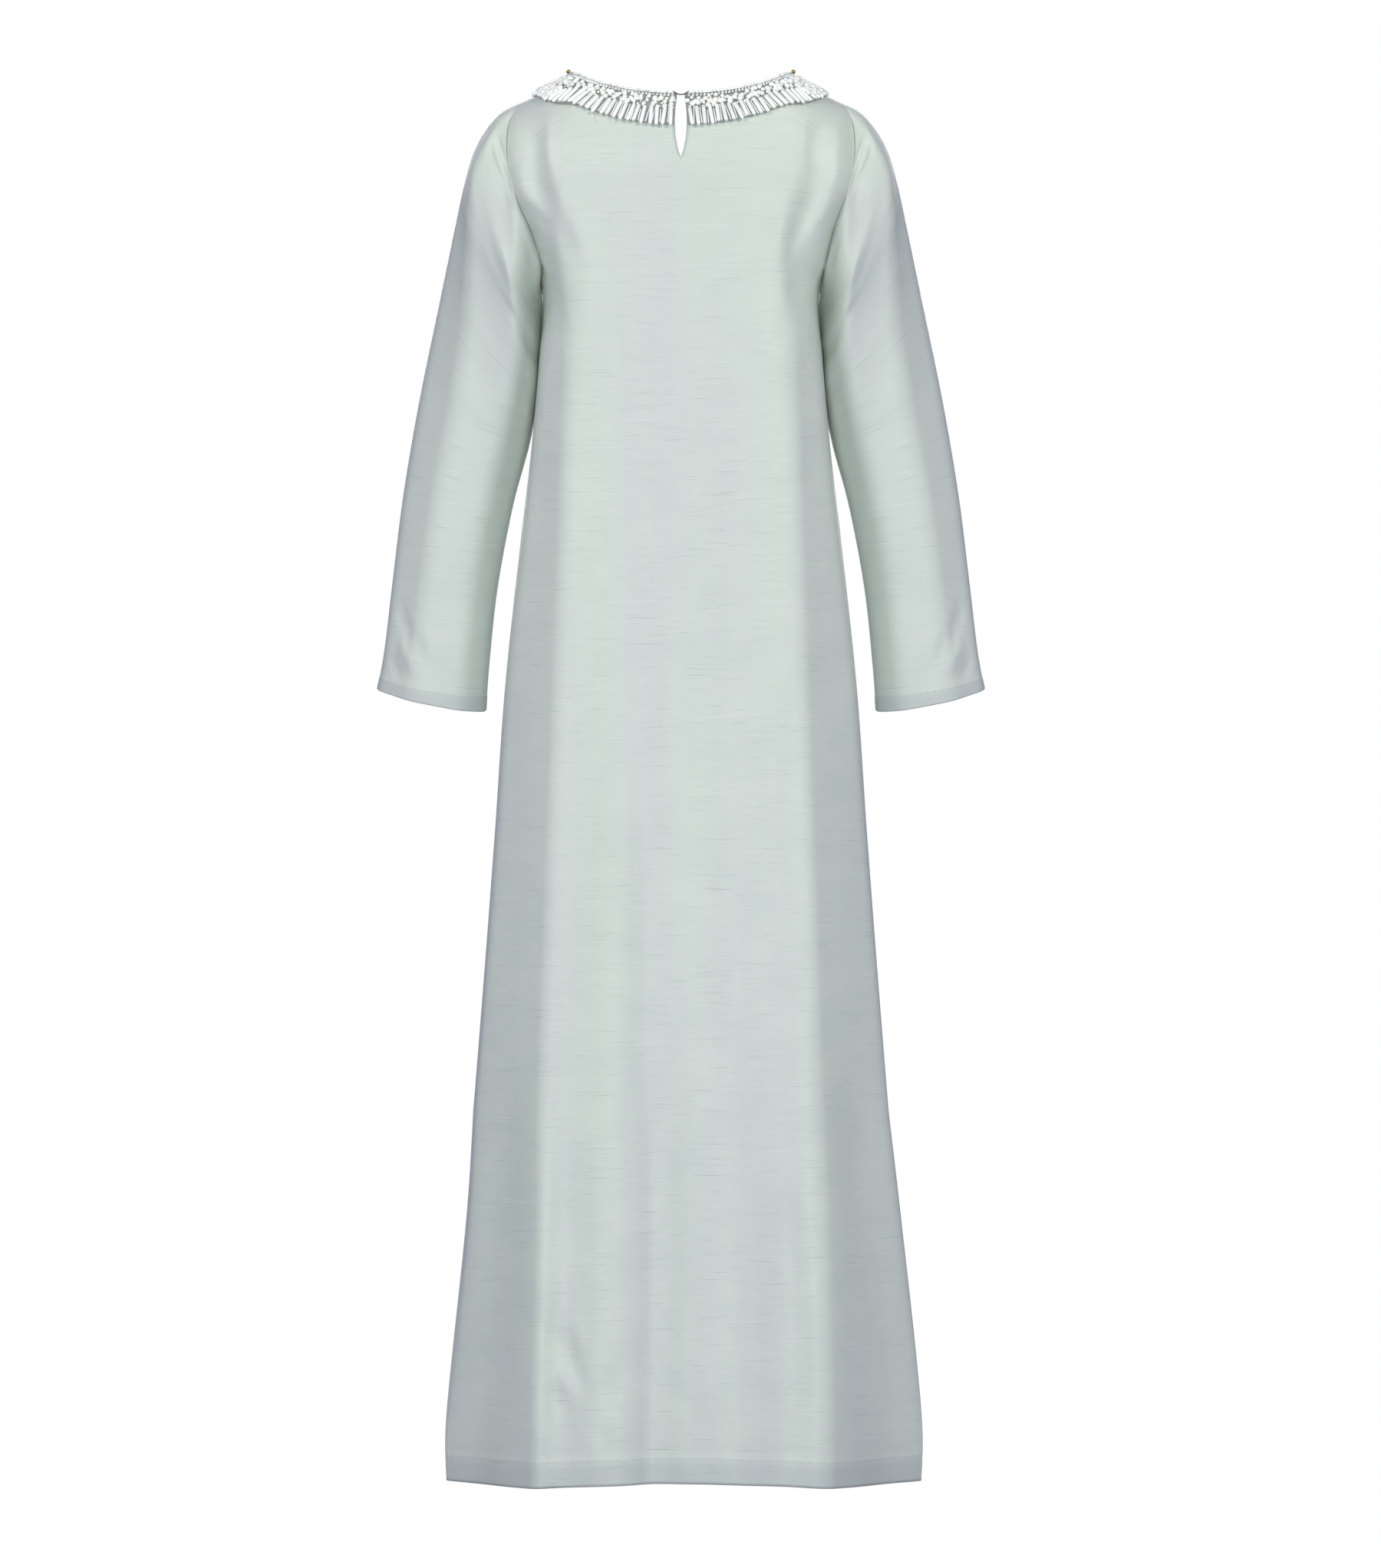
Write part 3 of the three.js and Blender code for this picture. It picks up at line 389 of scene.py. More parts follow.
# The half panel's width as it is woven, and how far apart the weaves of front and back are.
PANEL_WEAVE = {"top": 150, "flare": 0.11, "ease": 1.25, "shift": 1000}
PANEL_ROW_PACE = 1.5  # above 1, rows stand closer together at the top


def panel_place(side):
    """Maps a unit grid onto a panel, from the right to the left and from the hem up."""
    hem_line, bottom = down_at(side, LENGTH - HEM_DEPTH), down_at(side, LENGTH)
    hem_share = HEM_ROWS / PANEL_ROWS

    def place(column, row):
        rank = np.round((column * 2 - 1) * HALF_RANKS * COLUMNS_A_RANK) / COLUMNS_A_RANK
        sign, rank = np.sign(rank), np.abs(rank)
        top_x, top_down = top_edge(side, rank)
        in_hem = row < hem_share
        up = np.clip((1 - row) / (1 - hem_share), 0, 1) ** PANEL_ROW_PACE
        down = np.where(in_hem, mix(bottom, hem_line, row / hem_share), mix(top_down, hem_line, up))
        top_drop = crown(side, top_down)[0]
        top_share = np.where(rank >= HALF_RANKS, 1, share_at(side, top_drop, top_x))
        fan = 1 - (1 - np.clip((down - top_down) / COLUMN_FAN, 0, 1)) ** 2
        ratio = mix(top_share / edge_share(side, top_drop), rank / HALF_RANKS, fan)
        share = np.where(row >= 1 - 1e-9, top_share, ratio * edge_share(side, crown(side, down)[0]))
        share = sign * np.minimum(share, 1)
        points = cloth_point(side, share, down)
        normals = cloth_normal(side, share, down)
        points += normals * panel_creases(side, points, share)[:, None]
        if side == BACK:
            across = np.abs(smooth_cloth(side, share, down)[:, 0])
            inside = curve_at(ARMHOLE[side], "x", crown(side, down)[0]) - across
            points[:, 1] -= groove_depth(-points[:, 2], inside, ARMHOLE_GROOVE["panel"])
        points[:, 1] += side * SEAM_GAP / 2 * (rank >= HALF_RANKS)
        inwards = smooth(1 - np.abs(share) / HEM_RISE["reach"])
        downwards = smooth((-points[:, 2] - HEM_RISE["start"]) / HEM_RISE["over"])
        points[:, 2] += HEM_RISE["height"] * (inwards * downwards)
        woven = share * (PANEL_WEAVE["top"] + PANEL_WEAVE["flare"] * down) * PANEL_WEAVE["ease"]
        return points, np.stack([woven + side * PANEL_WEAVE["shift"], hem_line - down], 1)

    return place


# Fine creases pressed and worn into the cloth: ends [x, z] square on to the panel, width and height.
CREASES = {
    BACK: table("from_x from_z to_x to_z width height", [
        (152, -36, 141, -156, 14, -5.6),
        (140, -104, 128, -290, 14, -6.2),
        (127, -46, 124, -114, 6, -1.6),
        (166, -92, 152, -150, 6, 1.4),
        (156, -146, 138, -168, 4, -0.9),
        (153, -186, 136, -202, 4, -0.8),
        (-150, -38, -140, -150, 14, -5.8),
        (-139, -98, -129, -280, 14, -6.6),
        (-125, -50, -122, -122, 6, -1.4),
        (-164, -98, -150, -152, 6, 1.3),
        (-155, -158, -137, -176, 4, -0.9),
        (22, -52, 21, -84, 3, -0.6),
        (-60, -420, 40, -436, 14, 0.5),
        (98, -520, 30, -548, 14, -0.5),
        (-110, -600, -30, -588, 13, 0.5),
        (70, -700, -40, -716, 15, -0.4),
        (118, -1296, 96, -1372, 9, -2.2),
        (104, -1384, 132, -1330, 7, 1.8),
        (58, -1330, 76, -1398, 8, -1.6),
        (134, -1286, 120, -1330, 6, -1.9),
        (126, -1340, 112, -1366, 6, 1.9),
        (110, -1286, 98, -1324, 6, 1.6),
        (134, -1356, 120, -1398, 7, -1.7),
        (88, -1398, 66, -1432, 8, -1.3),
        (20, -1352, -24, -1384, 10, -1.0),
    ]),
    FRONT: table("from_x from_z to_x to_z width height", [
        (160, -70, 124, -112, 7, -1.6),
        (-162, -66, -122, -108, 7, -1.6),
        (146, -150, 104, -186, 8, -1.6),
        (-146, -156, -108, -196, 8, -1.5),
        (136, -208, 84, -250, 9, -1.3),
        (-136, -206, -90, -262, 9, -1.2),
        (-70, -330, 40, -352, 13, 0.7),
        (90, -452, 10, -470, 14, -0.6),
        (-96, -560, -20, -548, 14, 0.6),
    ]),
}
CREASE_TAPER = 0.35  # share of a crease's length over which each end dies away
CREASE_BOW = 0.06  # how far a crease bows aside, as a share of its length
CREASE_SPREAD = 1.6  # reach of a crease to each side, in its widths
CREASE_CALM = 12  # the higher, the closer the creases come to the side seams
UNDERARM_CALM = {"drop": 238, "reach": 34, "share": 0.86, "over": 0.1}  # where no crease pulls the side in


def crease_height(rows, x, z):
    """Height of straight creases at points seen square on."""
    total = np.zeros_like(x)
    for from_x, from_z, to_x, to_z, width, height in zip(*rows.values()):
        run = np.array([to_x - from_x, to_z - from_z])
        length = np.hypot(*run)
        way = run / length
        along = ((x - from_x) * way[0] + (z - from_z) * way[1]) / length
        aside = (x - from_x) * way[1] - (z - from_z) * way[0]
        aside = aside + CREASE_BOW * length * np.sin(math.pi * np.clip(along, 0, 1))
        taper = smooth(along / CREASE_TAPER) * smooth((1 - along) / CREASE_TAPER)
        total += height * taper * bump(aside, width * CREASE_SPREAD)
    return total


ARMHOLE_GROOVE = {"drop": 186, "reach": 66, "depth": 8, "panel": 6, "sleeve": 7}
SEAM_DIP = {"depth": 1.7, "from": 24, "over": 40}  # the seam's own narrow dip, from below the shoulder
GROOVE_END = {"from": 194, "over": 28}  # where both run out, at the underarm


def groove_depth(drop, distance, width):
    """How far the cloth sinks in along the back of the armhole seam, at a distance from it."""
    along = bump(drop - ARMHOLE_GROOVE["drop"], ARMHOLE_GROOVE["reach"])
    seam = SEAM_DIP["depth"] * smooth((drop - SEAM_DIP["from"]) / SEAM_DIP["over"])
    broad = ARMHOLE_GROOVE["depth"] * along * np.exp(-((distance / width) ** 2))
    ends = 1 - smooth((drop - GROOVE_END["from"]) / GROOVE_END["over"])
    return ends * (broad + seam * np.exp(-((2 * distance / width) ** 2)))


SWING = {"from": 500, "over": 700, "height": 1.1, "waves": 9.5, "drift": 0.0016}
RIPPLE = {"from": 1340, "over": 120, "height": 0.7, "waves": 31, "shift": 1.3}
HEM_STEP = {"height": 0.45, "over": 3}
STITCH_DIP = {"depth": 0.7, "reach": 5}


def panel_creases(side, points, share):
    """Height of the fine relief: creases, the skirt's swing, the hem's ripples and its turned-up edge."""
    drop = -points[:, 2]
    total = crease_height(CREASES[side], points[:, 0], points[:, 2])
    near_side = smooth((np.abs(share) - UNDERARM_CALM["share"]) / UNDERARM_CALM["over"])
    total *= 1 - near_side * smooth(2 * bump(drop - UNDERARM_CALM["drop"], UNDERARM_CALM["reach"]))
    # The skirt swings in long shallow waves, and the hem ripples a little more.
    swing = smooth((drop - SWING["from"]) / SWING["over"])
    total += swing * SWING["height"] * np.sin(share * SWING["waves"] + drop * SWING["drift"] + side)
    ripple = smooth((drop - RIPPLE["from"]) / RIPPLE["over"])
    total += ripple * RIPPLE["height"] * np.sin(share * RIPPLE["waves"] + RIPPLE["shift"] * side)
    # The turned-up hem stands just proud of the cloth above its line of stitches.
    into_hem = drop - (LENGTH - HEM_DEPTH)
    total += HEM_STEP["height"] * smooth(into_hem / HEM_STEP["over"])
    total -= STITCH_DIP["depth"] * bump(into_hem, STITCH_DIP["reach"])
    return total * (1 - np.abs(share) ** CREASE_CALM)


ON_LINE = 1e-6  # how near to the middle line, in metres, a point counts as on it
SLIT_START = 1e-5


def cut_keyhole(bm):
    """Opens the slit at the centre back: its points part, then move out to its edges."""

    def in_slit(vert):
        return vert.co.y > 0 and vert.co.z > KEYHOLE["z"][0] * MM

    def on_line(vert):
        return abs(vert.co.x) < ON_LINE

    slit = [e for e in bm.edges if all(map(on_line, e.verts)) and any(map(in_slit, e.verts))]
    bmesh.ops.split_edges(bm, edges=slit)
    for face in bm.faces:
        parted = [vert for vert in face.verts if on_line(vert) and in_slit(vert)]
        if parted:
            start = math.copysign(SLIT_START, face.calc_center_median().x)
            for vert in parted:
                vert.co.x = start
    for vert in bm.verts:
        away = abs(vert.co.x) / MM
        if in_slit(vert) and 0 < away < KEYHOLE_EASE:
            half = float(np.interp(vert.co.z / MM, KEYHOLE["z"], KEYHOLE["half"]))
            vert.co.x = math.copysign((half + away * (1 - half / KEYHOLE_EASE)) * MM, vert.co.x)


def panel(side, name, node):
    columns = 2 * HALF_RANKS * COLUMNS_A_RANK
    bm = cloth_grid(panel_place(side), columns, PANEL_ROWS)
    if side == BACK:
        cut_keyhole(bm)
        bmesh.ops.reverse_faces(bm, faces=bm.faces)
    piece = finished(name, bm, replaces=[node], material=silk)
    thickened(piece, CLOTH_THICKNESS)
    return piece


# ---- sleeves ----
AROUND = 2 * ARMHOLE_RANKS


def armhole_point(place, hand):
    """Point on the left armhole at a place round it: 0 at the shoulder, down the back, up the front.
    With hand -1 it is the right armhole, mirrored to the left."""
    out = np.zeros((len(place), 3))
    for side in (BACK, FRONT):
        mine = place <= ARMHOLE_RANKS if side == BACK else place > ARMHOLE_RANKS
        rank = place if side == BACK else AROUND - place
        x, down = armhole_at(side, np.clip(rank / ARMHOLE_RANKS, 0, 1))
        drop = crown(side, down)[0]
        share = hand * np.where(rank >= ARMHOLE_RANKS, 1, share_at(side, drop, x))
        points = cloth_point(side, share, down)
        points += cloth_normal(side, share, down) * panel_creases(side, points, share)[:, None]
        out[mine] = points[mine]
    out[:, 0] *= hand
    return out


def sleeve_ring(i, place):
    row = {name: column[i] for name, column in SLEEVE_RINGS.items()}
    half = np.array([row["out_x"] - row["in_x"], 0, row["out_z"] - row["in_z"]]) / 2
    middle = np.array([(row["out_x"] + row["in_x"]) / 2, row["mid_y"], (row["out_z"] + row["in_z"]) / 2])
    profile = SLEEVE_SECTION.copy()
    profile[2, 0] = mix(FULL_CAP, profile[2, 0], smooth(i / FULL_CAP_RINGS))
    profile[3, 0] = mix(profile[3, 0], LOWER_INNER_CORNER, smooth((i - ELBOW_RING) / ELBOW_RINGS))
    square = unit(np.array([half[2], 0, -half[0]]))
    lengths = np.hypot(*np.diff(profile, axis=0).T)
    shares = np.concatenate([[0], np.cumsum(lengths / lengths.sum())])
    back = place <= ARMHOLE_RANKS
    share = np.where(back, place, AROUND - place) / ARMHOLE_RANKS
    corners = np.repeat(profile[:, None, :], len(place), axis=1)
    section = eased_path(corners, shares, np.full(len(place), SLEEVE_EASE), share)
    across, depth = section[:, :1], section[:, 1:]
    sideways = np.where(back[:, None], 1, -1) * depth
    point = middle + half * across + square * row["bow"] * depth
    return point + sideways * np.array([0, row["depth"], -row["dip"]])


SIDE_START = 0.3  # share of the half girth from which the body's side is looked for


def body_side_at(y, z):
    """How far out the body's side stands, before its folds."""
    drop = -z
    side_y = curve_at(GIRTHS, "seam_y", drop)
    out = np.zeros_like(y)
    for side in (BACK, FRONT):
        low, high = np.full_like(y, SIDE_START), np.ones_like(y)
        for _ in range(SIDE_STEPS):
            middle = (low + high) / 2
            beyond = side * girth_point(side, drop, middle)[:, 1] > side * y
            low, high = np.where(beyond, middle, low), np.where(beyond, high, middle)
        x = girth_point(side, drop, low)[:, 0]
        out = np.where((y > side_y) == (side == BACK), x, out)
    return out


# Creases of the left sleeve: where each starts and ends, as places round it and rings down it, width as a
# share of a ring, and height.
SLEEVE_CREASES = table("from_place from_ring to_place to_ring width height", [
    (2.2, 0.9, 5.0, 2.6, 0.4, -0.4),
    (3.6, 1.8, 7.2, 3.4, 0.45, -0.5),
    (5.4, 1.4, 8.6, 2.6, 0.4, 0.8),
    (6.2, 3.2, 9.2, 4.4, 0.5, -1.8),
    (6.8, 4.0, 9.4, 5.0, 0.4, 1.2),
    (2.4, 4.8, 6.4, 5.6, 0.5, -0.8),
    (5.6, 5.6, 8.8, 5.2, 0.4, 0.8),
    (1.4, 8.2, 3.4, 8.8, 0.22, -1.8),
    (1.8, 8.7, 3.9, 9.3, 0.2, 1.7),
    (1.2, 9.0, 2.8, 9.5, 0.18, -1.4),
    (3.2, 8.5, 4.6, 9.2, 0.17, -1.2),
    (14.0, 1.0, 17.6, 2.6, 0.5, -1.8),
    (12.4, 2.2, 16.2, 3.6, 0.5, 1.6),
    (11.6, 3.4, 15.4, 4.6, 0.5, -2.2),
    (12.8, 5.6, 17.0, 5.2, 0.5, -1.2),
    (12.2, 8.4, 14.8, 9.0, 0.22, 0.9),
])


PLACES_A_RING = 3  # places round the sleeve that are as far apart as two rings


def sleeve_crease_height(place, ring):
    total = np.zeros_like(place)
    for from_p, from_r, to_p, to_r, width, height in zip(*SLEEVE_CREASES.values()):
        run_p, run_r = (to_p - from_p) / PLACES_A_RING, to_r - from_r
        length = math.hypot(run_p, run_r)
        p, r = (place - from_p) / PLACES_A_RING, ring - from_r
        along = (p * run_p + r * run_r) / length**2
        aside = (p * run_r - r * run_p) / length
        taper = smooth(along / CREASE_TAPER) * smooth((1 - along) / CREASE_TAPER)
        total += height * taper * bump(aside, width)
    return total


SLEEVE_COLUMNS = 120
SLEEVE_ROWS = 150
SLEEVE_RING_PITCH = 68  # mean cloth length from ring to ring
CUFF_HEM_SHARE = 0.42  # of the last stretch between rings, taken up by the turned-up cuff
CUFF_STEP = {"height": 0.4, "over": 0.06}
# The sleeve's girth as woven, what it loses from ring to ring, and how far off the panels its weave is laid.
SLEEVE_WEAVE = {"cap": 420, "taper": 20, "shift": 3000}
CAP_CALM = 0.6  # rings over which creases rise from the armhole
SIDE_DEPTH = 90  # how far to the front and back of the middle a sleeve can meet the body's side


def push_clear(points, beside, clear):
    """Moves the points beside the body out until they are clear of its side."""
    side = body_side_at(points[:, 1], points[:, 2]) + clear
    points[:, 0] = np.where(beside, np.maximum(points[:, 0], side), points[:, 0])


def sleeve_place(hand):
    """Maps a unit grid onto the left sleeve: round it from the shoulder, and up from the cuff.
    With hand -1 it is the right sleeve, mirrored to the left."""
    last = len(SLEEVE_RINGS["depth"])

    def place(column, row):
        spot = column * AROUND
        rings = [armhole_point(spot, hand)] + [sleeve_ring(i, spot) for i in range(last)]
        at = (1 - row) * last
        k = np.minimum(at.astype(int), last - 1)
        f = (at - k)[:, None]
        stack = np.array(rings)
        n = np.arange(len(spot))
        a, b, c, d = (stack[np.clip(k + step, 0, last), n] for step in (-1, 0, 1, 2))
        points = b + 0.5 * f * (c - a + f * (2 * a - 5 * b + 4 * c - d + f * (3 * (b - c) + d - a)))
        below = -UNDERARM_DROP - points[:, 2]
        clear = mix(UNDERARM_TOUCH, SLEEVE_CLEARANCE, smooth(below / CLEARANCE_GROWTH))
        beside = (below > 0) & (np.abs(points[:, 1]) <= SIDE_DEPTH)
        push_clear(points, beside, clear)
        grid = points.reshape(SLEEVE_ROWS + 1, SLEEVE_COLUMNS + 1, 3)
        normals = unit(np.cross(np.gradient(grid, axis=1), np.gradient(grid, axis=0))).reshape(-1, 3)
        on_back = (spot > 0) & (spot < ARMHOLE_RANKS)
        lift = sleeve_crease_height(spot, at) + cap_fold_height(points) * on_back
        lift *= smooth(at / CAP_CALM)
        lift += CUFF_STEP["height"] * smooth((at - last + CUFF_HEM_SHARE) / CUFF_STEP["over"])
        points = points + normals * lift[:, None]
        from_seam = np.linalg.norm(points - stack[0], axis=1)
        groove = groove_depth(-stack[0][:, 2], from_seam, ARMHOLE_GROOVE["sleeve"])
        points[:, 1] -= groove * (spot < ARMHOLE_RANKS)
        points[at == 0, 0] += SEAM_GAP
        push_clear(points, beside, clear)
        woven = column * (SLEEVE_WEAVE["cap"] - SLEEVE_WEAVE["taper"] * at) + SLEEVE_WEAVE["shift"]
        return points, np.stack([woven, (last - CUFF_HEM_SHARE - at) * SLEEVE_RING_PITCH], 1)

    return place


CAP_FOLD_RISE = 3  # a cap fold is at its full height a third of the way down


def cap_fold_height(points):
    total = np.zeros(len(points))
    flat = points[:, [0, 2]]
    for from_x, from_z, to_x, to_z, width, height in zip(*CAP_FOLDS.values()):
        start, run = np.array([from_x, from_z]), np.array([to_x - from_x, to_z - from_z])
        share = np.clip((flat - start) @ run / (run @ run), 0, 1)
        distance = np.linalg.norm(flat - start - share[:, None] * run, axis=1)
        total += height * bump(distance, width) * smooth(share * CAP_FOLD_RISE)
    return total


def sleeve(name, node, hand):
    bm = cloth_grid(sleeve_place(hand), SLEEVE_COLUMNS, SLEEVE_ROWS)
    bmesh.ops.remove_doubles(bm, verts=bm.verts, dist=1e-6)
    bmesh.ops.scale(bm, vec=(hand, 1, 1), verts=bm.verts)
    bmesh.ops.recalc_face_normals(bm, faces=bm.faces)
    piece = finished(name, bm, replaces=[node], material=silk)
    thickened(piece, CLOTH_THICKNESS)
    return piece


# ---- sewing ----
STITCH_PITCH = 8
STITCH = {"half_length": 0.95, "half_width": 0.3, "lift": 0.12, "scatter": 0.7}
CUFF_HEM_ROW = 6  # row of the sleeve's grid along the top of its turned-up cuff
KEYHOLE_BINDING, BINDING_STEPS = 0.72, 40  # radius of the slit's rolled edge, and its points a side


def seated(point, axes, size):
    """Matrix that puts a bead of radius 1 at a point in millimetres, along three axes, at its size."""
    turned = Matrix([list(axis * length) for axis, length in zip(axes, size)]).transposed().to_4x4()
    return Matrix.Translation(point * MM) @ turned @ Matrix.Scale(MM, 4)


def hem_paths():
    """Lines along which the hems are caught down, each with a point inside it."""
    across = np.linspace(0.005, 0.995, 700)
    row = np.full_like(across, HEM_ROWS / PANEL_ROWS)
    for side in (BACK, FRONT):
        path = panel_place(side)(across, row)[0]
        yield path, path.mean(axis=0) * np.array([1, 0, 1])
    columns = np.tile(np.linspace(0, 1, SLEEVE_COLUMNS + 1), SLEEVE_ROWS + 1)
    rows = np.repeat(np.linspace(0, 1, SLEEVE_ROWS + 1), SLEEVE_COLUMNS + 1)
    cuff = sleeve_place(1)(columns, rows)[0].reshape(SLEEVE_ROWS + 1, SLEEVE_COLUMNS + 1, 3)[CUFF_HEM_ROW]
    for hand in (1, -1):
        path = cuff * np.array([hand, 1, 1])
        yield path, path.mean(axis=0)


def hem_stitches():
    """Small pick stitches along the tops of the turned-up hems."""
    places = []
    for path, middle in hem_paths():
        steps = np.linalg.norm(np.diff(path, axis=0), axis=1)
        length = np.concatenate([[0], np.cumsum(steps)])
        at = np.arange(STITCH_PITCH / 2, length[-1], STITCH_PITCH)
        at = at + STITCH["scatter"] * RNG.standard_normal(len(at))
        points = np.stack([np.interp(at, length, path[:, i]) for i in range(3)], 1)
        ahead = np.stack([np.interp(at + 1, length, path[:, i]) for i in range(3)], 1)
        along = unit(ahead - points)
        outward = np.cross(along, np.array([0, 0, 1.0]))
        facing = np.sign(np.sum(outward * (points - middle), axis=1, keepdims=True))
        outward = unit(outward * facing)
        points = points + outward * STITCH["lift"]
        size = (STITCH["half_length"], STITCH["half_width"], STITCH["half_width"])
        for point, x, z in zip(points, along, outward):
            places.append(seated(point, (x, np.cross(z, x), z), size))
    strung("hem_stitches", ball(around=6, rings=4), places, sewing_thread, replaces=())


def keyhole_binding():
    """The rolled edge of the keyhole slit, from the neckline down to its point and up again."""
    down = np.linspace(NECKLINE[BACK] + 1, down_at(BACK, -KEYHOLE["z"][0]), BINDING_STEPS)
    centre = cloth_point(BACK, np.zeros_like(down), down)
    inward = -cloth_normal(BACK, np.zeros_like(down), down)
    half = np.interp(centre[:, 2], KEYHOLE["z"], KEYHOLE["half"])
    edge = centre + inward * KEYHOLE_BINDING + np.stack([half, 0 * half, 0 * half], 1)
    line = np.concatenate([edge, edge[::-1][1:] * np.array([-1, 1, 1])])
    curve = bpy.data.curves.new("keyhole_binding", "CURVE")
    curve.dimensions = "3D"
    curve.bevel_depth = KEYHOLE_BINDING * MM
    curve.bevel_resolution = 3
    curve.use_fill_caps = True
    spline = curve.splines.new("POLY")
    spline.points.add(len(line) - 1)
    for point, spot in zip(spline.points, line * MM):
        point.co = (*spot, 1)
    drawn = bpy.data.objects.new("keyhole_line", curve)
    bm = bmesh.new()
    bm.from_mesh(drawn.to_mesh())
    bpy.data.objects.remove(drawn)
    bmesh.ops.remove_doubles(bm, verts=bm.verts, dist=1e-7)
    bmesh.ops.recalc_face_normals(bm, faces=bm.faces)
    finished("keyhole_binding", bm, material=sewing_thread)


# ---- beaded collar ----
COLLAR_LIFT = 1.1
COLLAR_END = {"neck": 3.6, "edge": 7.4}  # half gap between its two ends at the keyhole
COLLAR_WIDTH = 44
BUGLES = 132
SHOULDER_CLUSTERS = (0.19, 0.81)  # shares of the way round at which the collar crosses the shoulders
EDGE_STEPS = 600


def collar_ends(turn):
    """Neckline and outer-edge places, [across, down], from the keyhole's left side (0) to its right (2)."""
    left = np.minimum(turn, 2 - turn)
    ends = []
    for edge, gap in ((NECKLINE, COLLAR_END["neck"]), (COLLAR_EDGE, COLLAR_END["edge"])):
        start = math.acos((gap / edge["half_width"]) ** (edge["roundness"] / 2))
        over_back = neck_edge(edge, BACK, start * (1 - 2 * left))
        over_front = neck_edge(edge, FRONT, math.pi / 2 * (2 * left - 1))
        on_back = left <= 0.5
        across = np.where(on_back, over_back[0], over_front[0]) * np.where(turn > 1, -1, 1)
        ends.append(np.stack([across, np.where(on_back, over_back[1], -over_front[1])], 1))
    return ends


def turn_at(share):
    """The turn at a share of the collar's way round its outer edge."""
    turns = np.linspace(0, 2, 2 * EDGE_STEPS + 1)
    edge = collar_ends(turns)[1]
    length = np.concatenate([[0], np.cumsum(np.linalg.norm(np.diff(edge, axis=0), axis=1))])
    return np.interp(share * length[-1], length, turns)


def yoke_place(flat):
    """Cloth points and normals at places [across, down], with down negative over the front."""
    points, normals = np.zeros((len(flat), 3)), np.zeros((len(flat), 3))
    for side in (BACK, FRONT):
        mine = (flat[:, 1] >= 0) == (side == BACK)
        across, reach = flat[mine, 0], np.abs(flat[mine, 1])
        share = np.sign(across) * share_at(side, crown(side, reach)[0], np.abs(across))
        points[mine] = cloth_point(side, share, reach)
        normals[mine] = cloth_normal(side, share, reach)
    return points, normals


def on_collar(round_share, width_share, height):
    """Points over the collar: shares of the way round and of its width out from the neckline, and height."""
    neck, edge = collar_ends(turn_at(round_share))
    points, normals = yoke_place(mix(neck, edge, width_share[:, None]))
    return points + normals * (COLLAR_LIFT + height)[:, None], normals


def bead_places(round_share, width_share, height, sizes, tilt=0.0):
    """Matrices that seat beads on the collar: their own Y runs out from the neckline, their Z stands up."""
    points, up = on_collar(round_share, width_share, height)
    outward = unit(on_collar(round_share, width_share + 0.02, height)[0] - points)
    sideways = unit(np.cross(outward, up))
    outward = unit(outward * np.cos(tilt)[:, None] + sideways * np.sin(tilt)[:, None])
    sideways = np.cross(outward, up)
    return [seated(point, axes, size) for point, *axes, size in zip(points, sideways, outward, up, sizes)]


def ball(around, rings):
    """A bead of radius 1, its hole along Y."""
    bm = bmesh.new()
    bmesh.ops.create_uvsphere(bm, u_segments=around, v_segments=rings, radius=1)
    bmesh.ops.rotate(bm, cent=(0, 0, 0), matrix=Matrix.Rotation(math.pi / 2, 3, "X"), verts=bm.verts)
    mesh = bpy.data.meshes.new("bead")
    bm.to_mesh(mesh)
    bm.free()
    return mesh


def strung(name, bead, places, material, stretch=None, replaces=("beaded_collar",)):
    """One mesh with a copy of a bead at each place. Each copy has a tone of its own, and a tube is drawn out
    to its stretch at both ends."""
    bm = bmesh.new()
    for i, place in enumerate(places):
        copy = bead.copy()
        if stretch is not None:
            for vert in copy.vertices:
                vert.co.y += math.copysign(stretch[i], vert.co.y)
        copy.transform(place)
        bm.from_mesh(copy)
        bpy.data.meshes.remove(copy)
    tone = bm.verts.layers.float.new("tone")
    tones = RNG.random(len(places))
    size = len(bead.vertices)
    for i, vert in enumerate(bm.verts):
        vert[tone] = tones[i // size]
    return finished(name, bm, replaces=replaces, material=material)


RIM_ROWS = ((0.03, 2.3), (0.118, 1.8))  # each row's place across the collar, and its height
RIM = {"count": 206, "radius": 1.75, "spread": 0.05, "turn": 0.6, "width": 0.8, "shift": 0.5}
# Loose rows of round beads: each row's place across the collar, count and start, then how far beads stray
# along and across, their radius and its spread, how much longer they may be, how flat they are, how high
# they sit, and how far they turn.
PEARLS = {
    "rows": ((0.235, 124, 0.25), (0.335, 118, 0.75), (0.43, 112, 0.4)),
    "along": 0.22, "across": 0.028, "radius": 2.55, "spread": 0.3,
    "longer": 0.25, "flat": 0.95, "lift": 0, "turn": 0.9,
}
SMALL_BEADS = {
    "rows": ((0.29, 140, 0.5), (0.39, 150, 0.5), (0.49, 150, 0.5)),
    "along": 0.3, "across": 0.02, "radius": 1.3, "spread": 0.2,
    "longer": 0.7, "flat": 1, "lift": 0.5, "turn": 1.2,
}
# Where the collar passes over each shoulder, more round beads are caught among the bugles.
SHOULDER_BEADS = {
    "count": 64, "reach": 0.042, "inner": 0.5, "width": 0.34,
    "radius": 2.0, "spread": 0.45, "longer": 0.3, "lift": 1.6,
}
FIRST_BEAD, LAST_BEAD = 0.002, 0.998


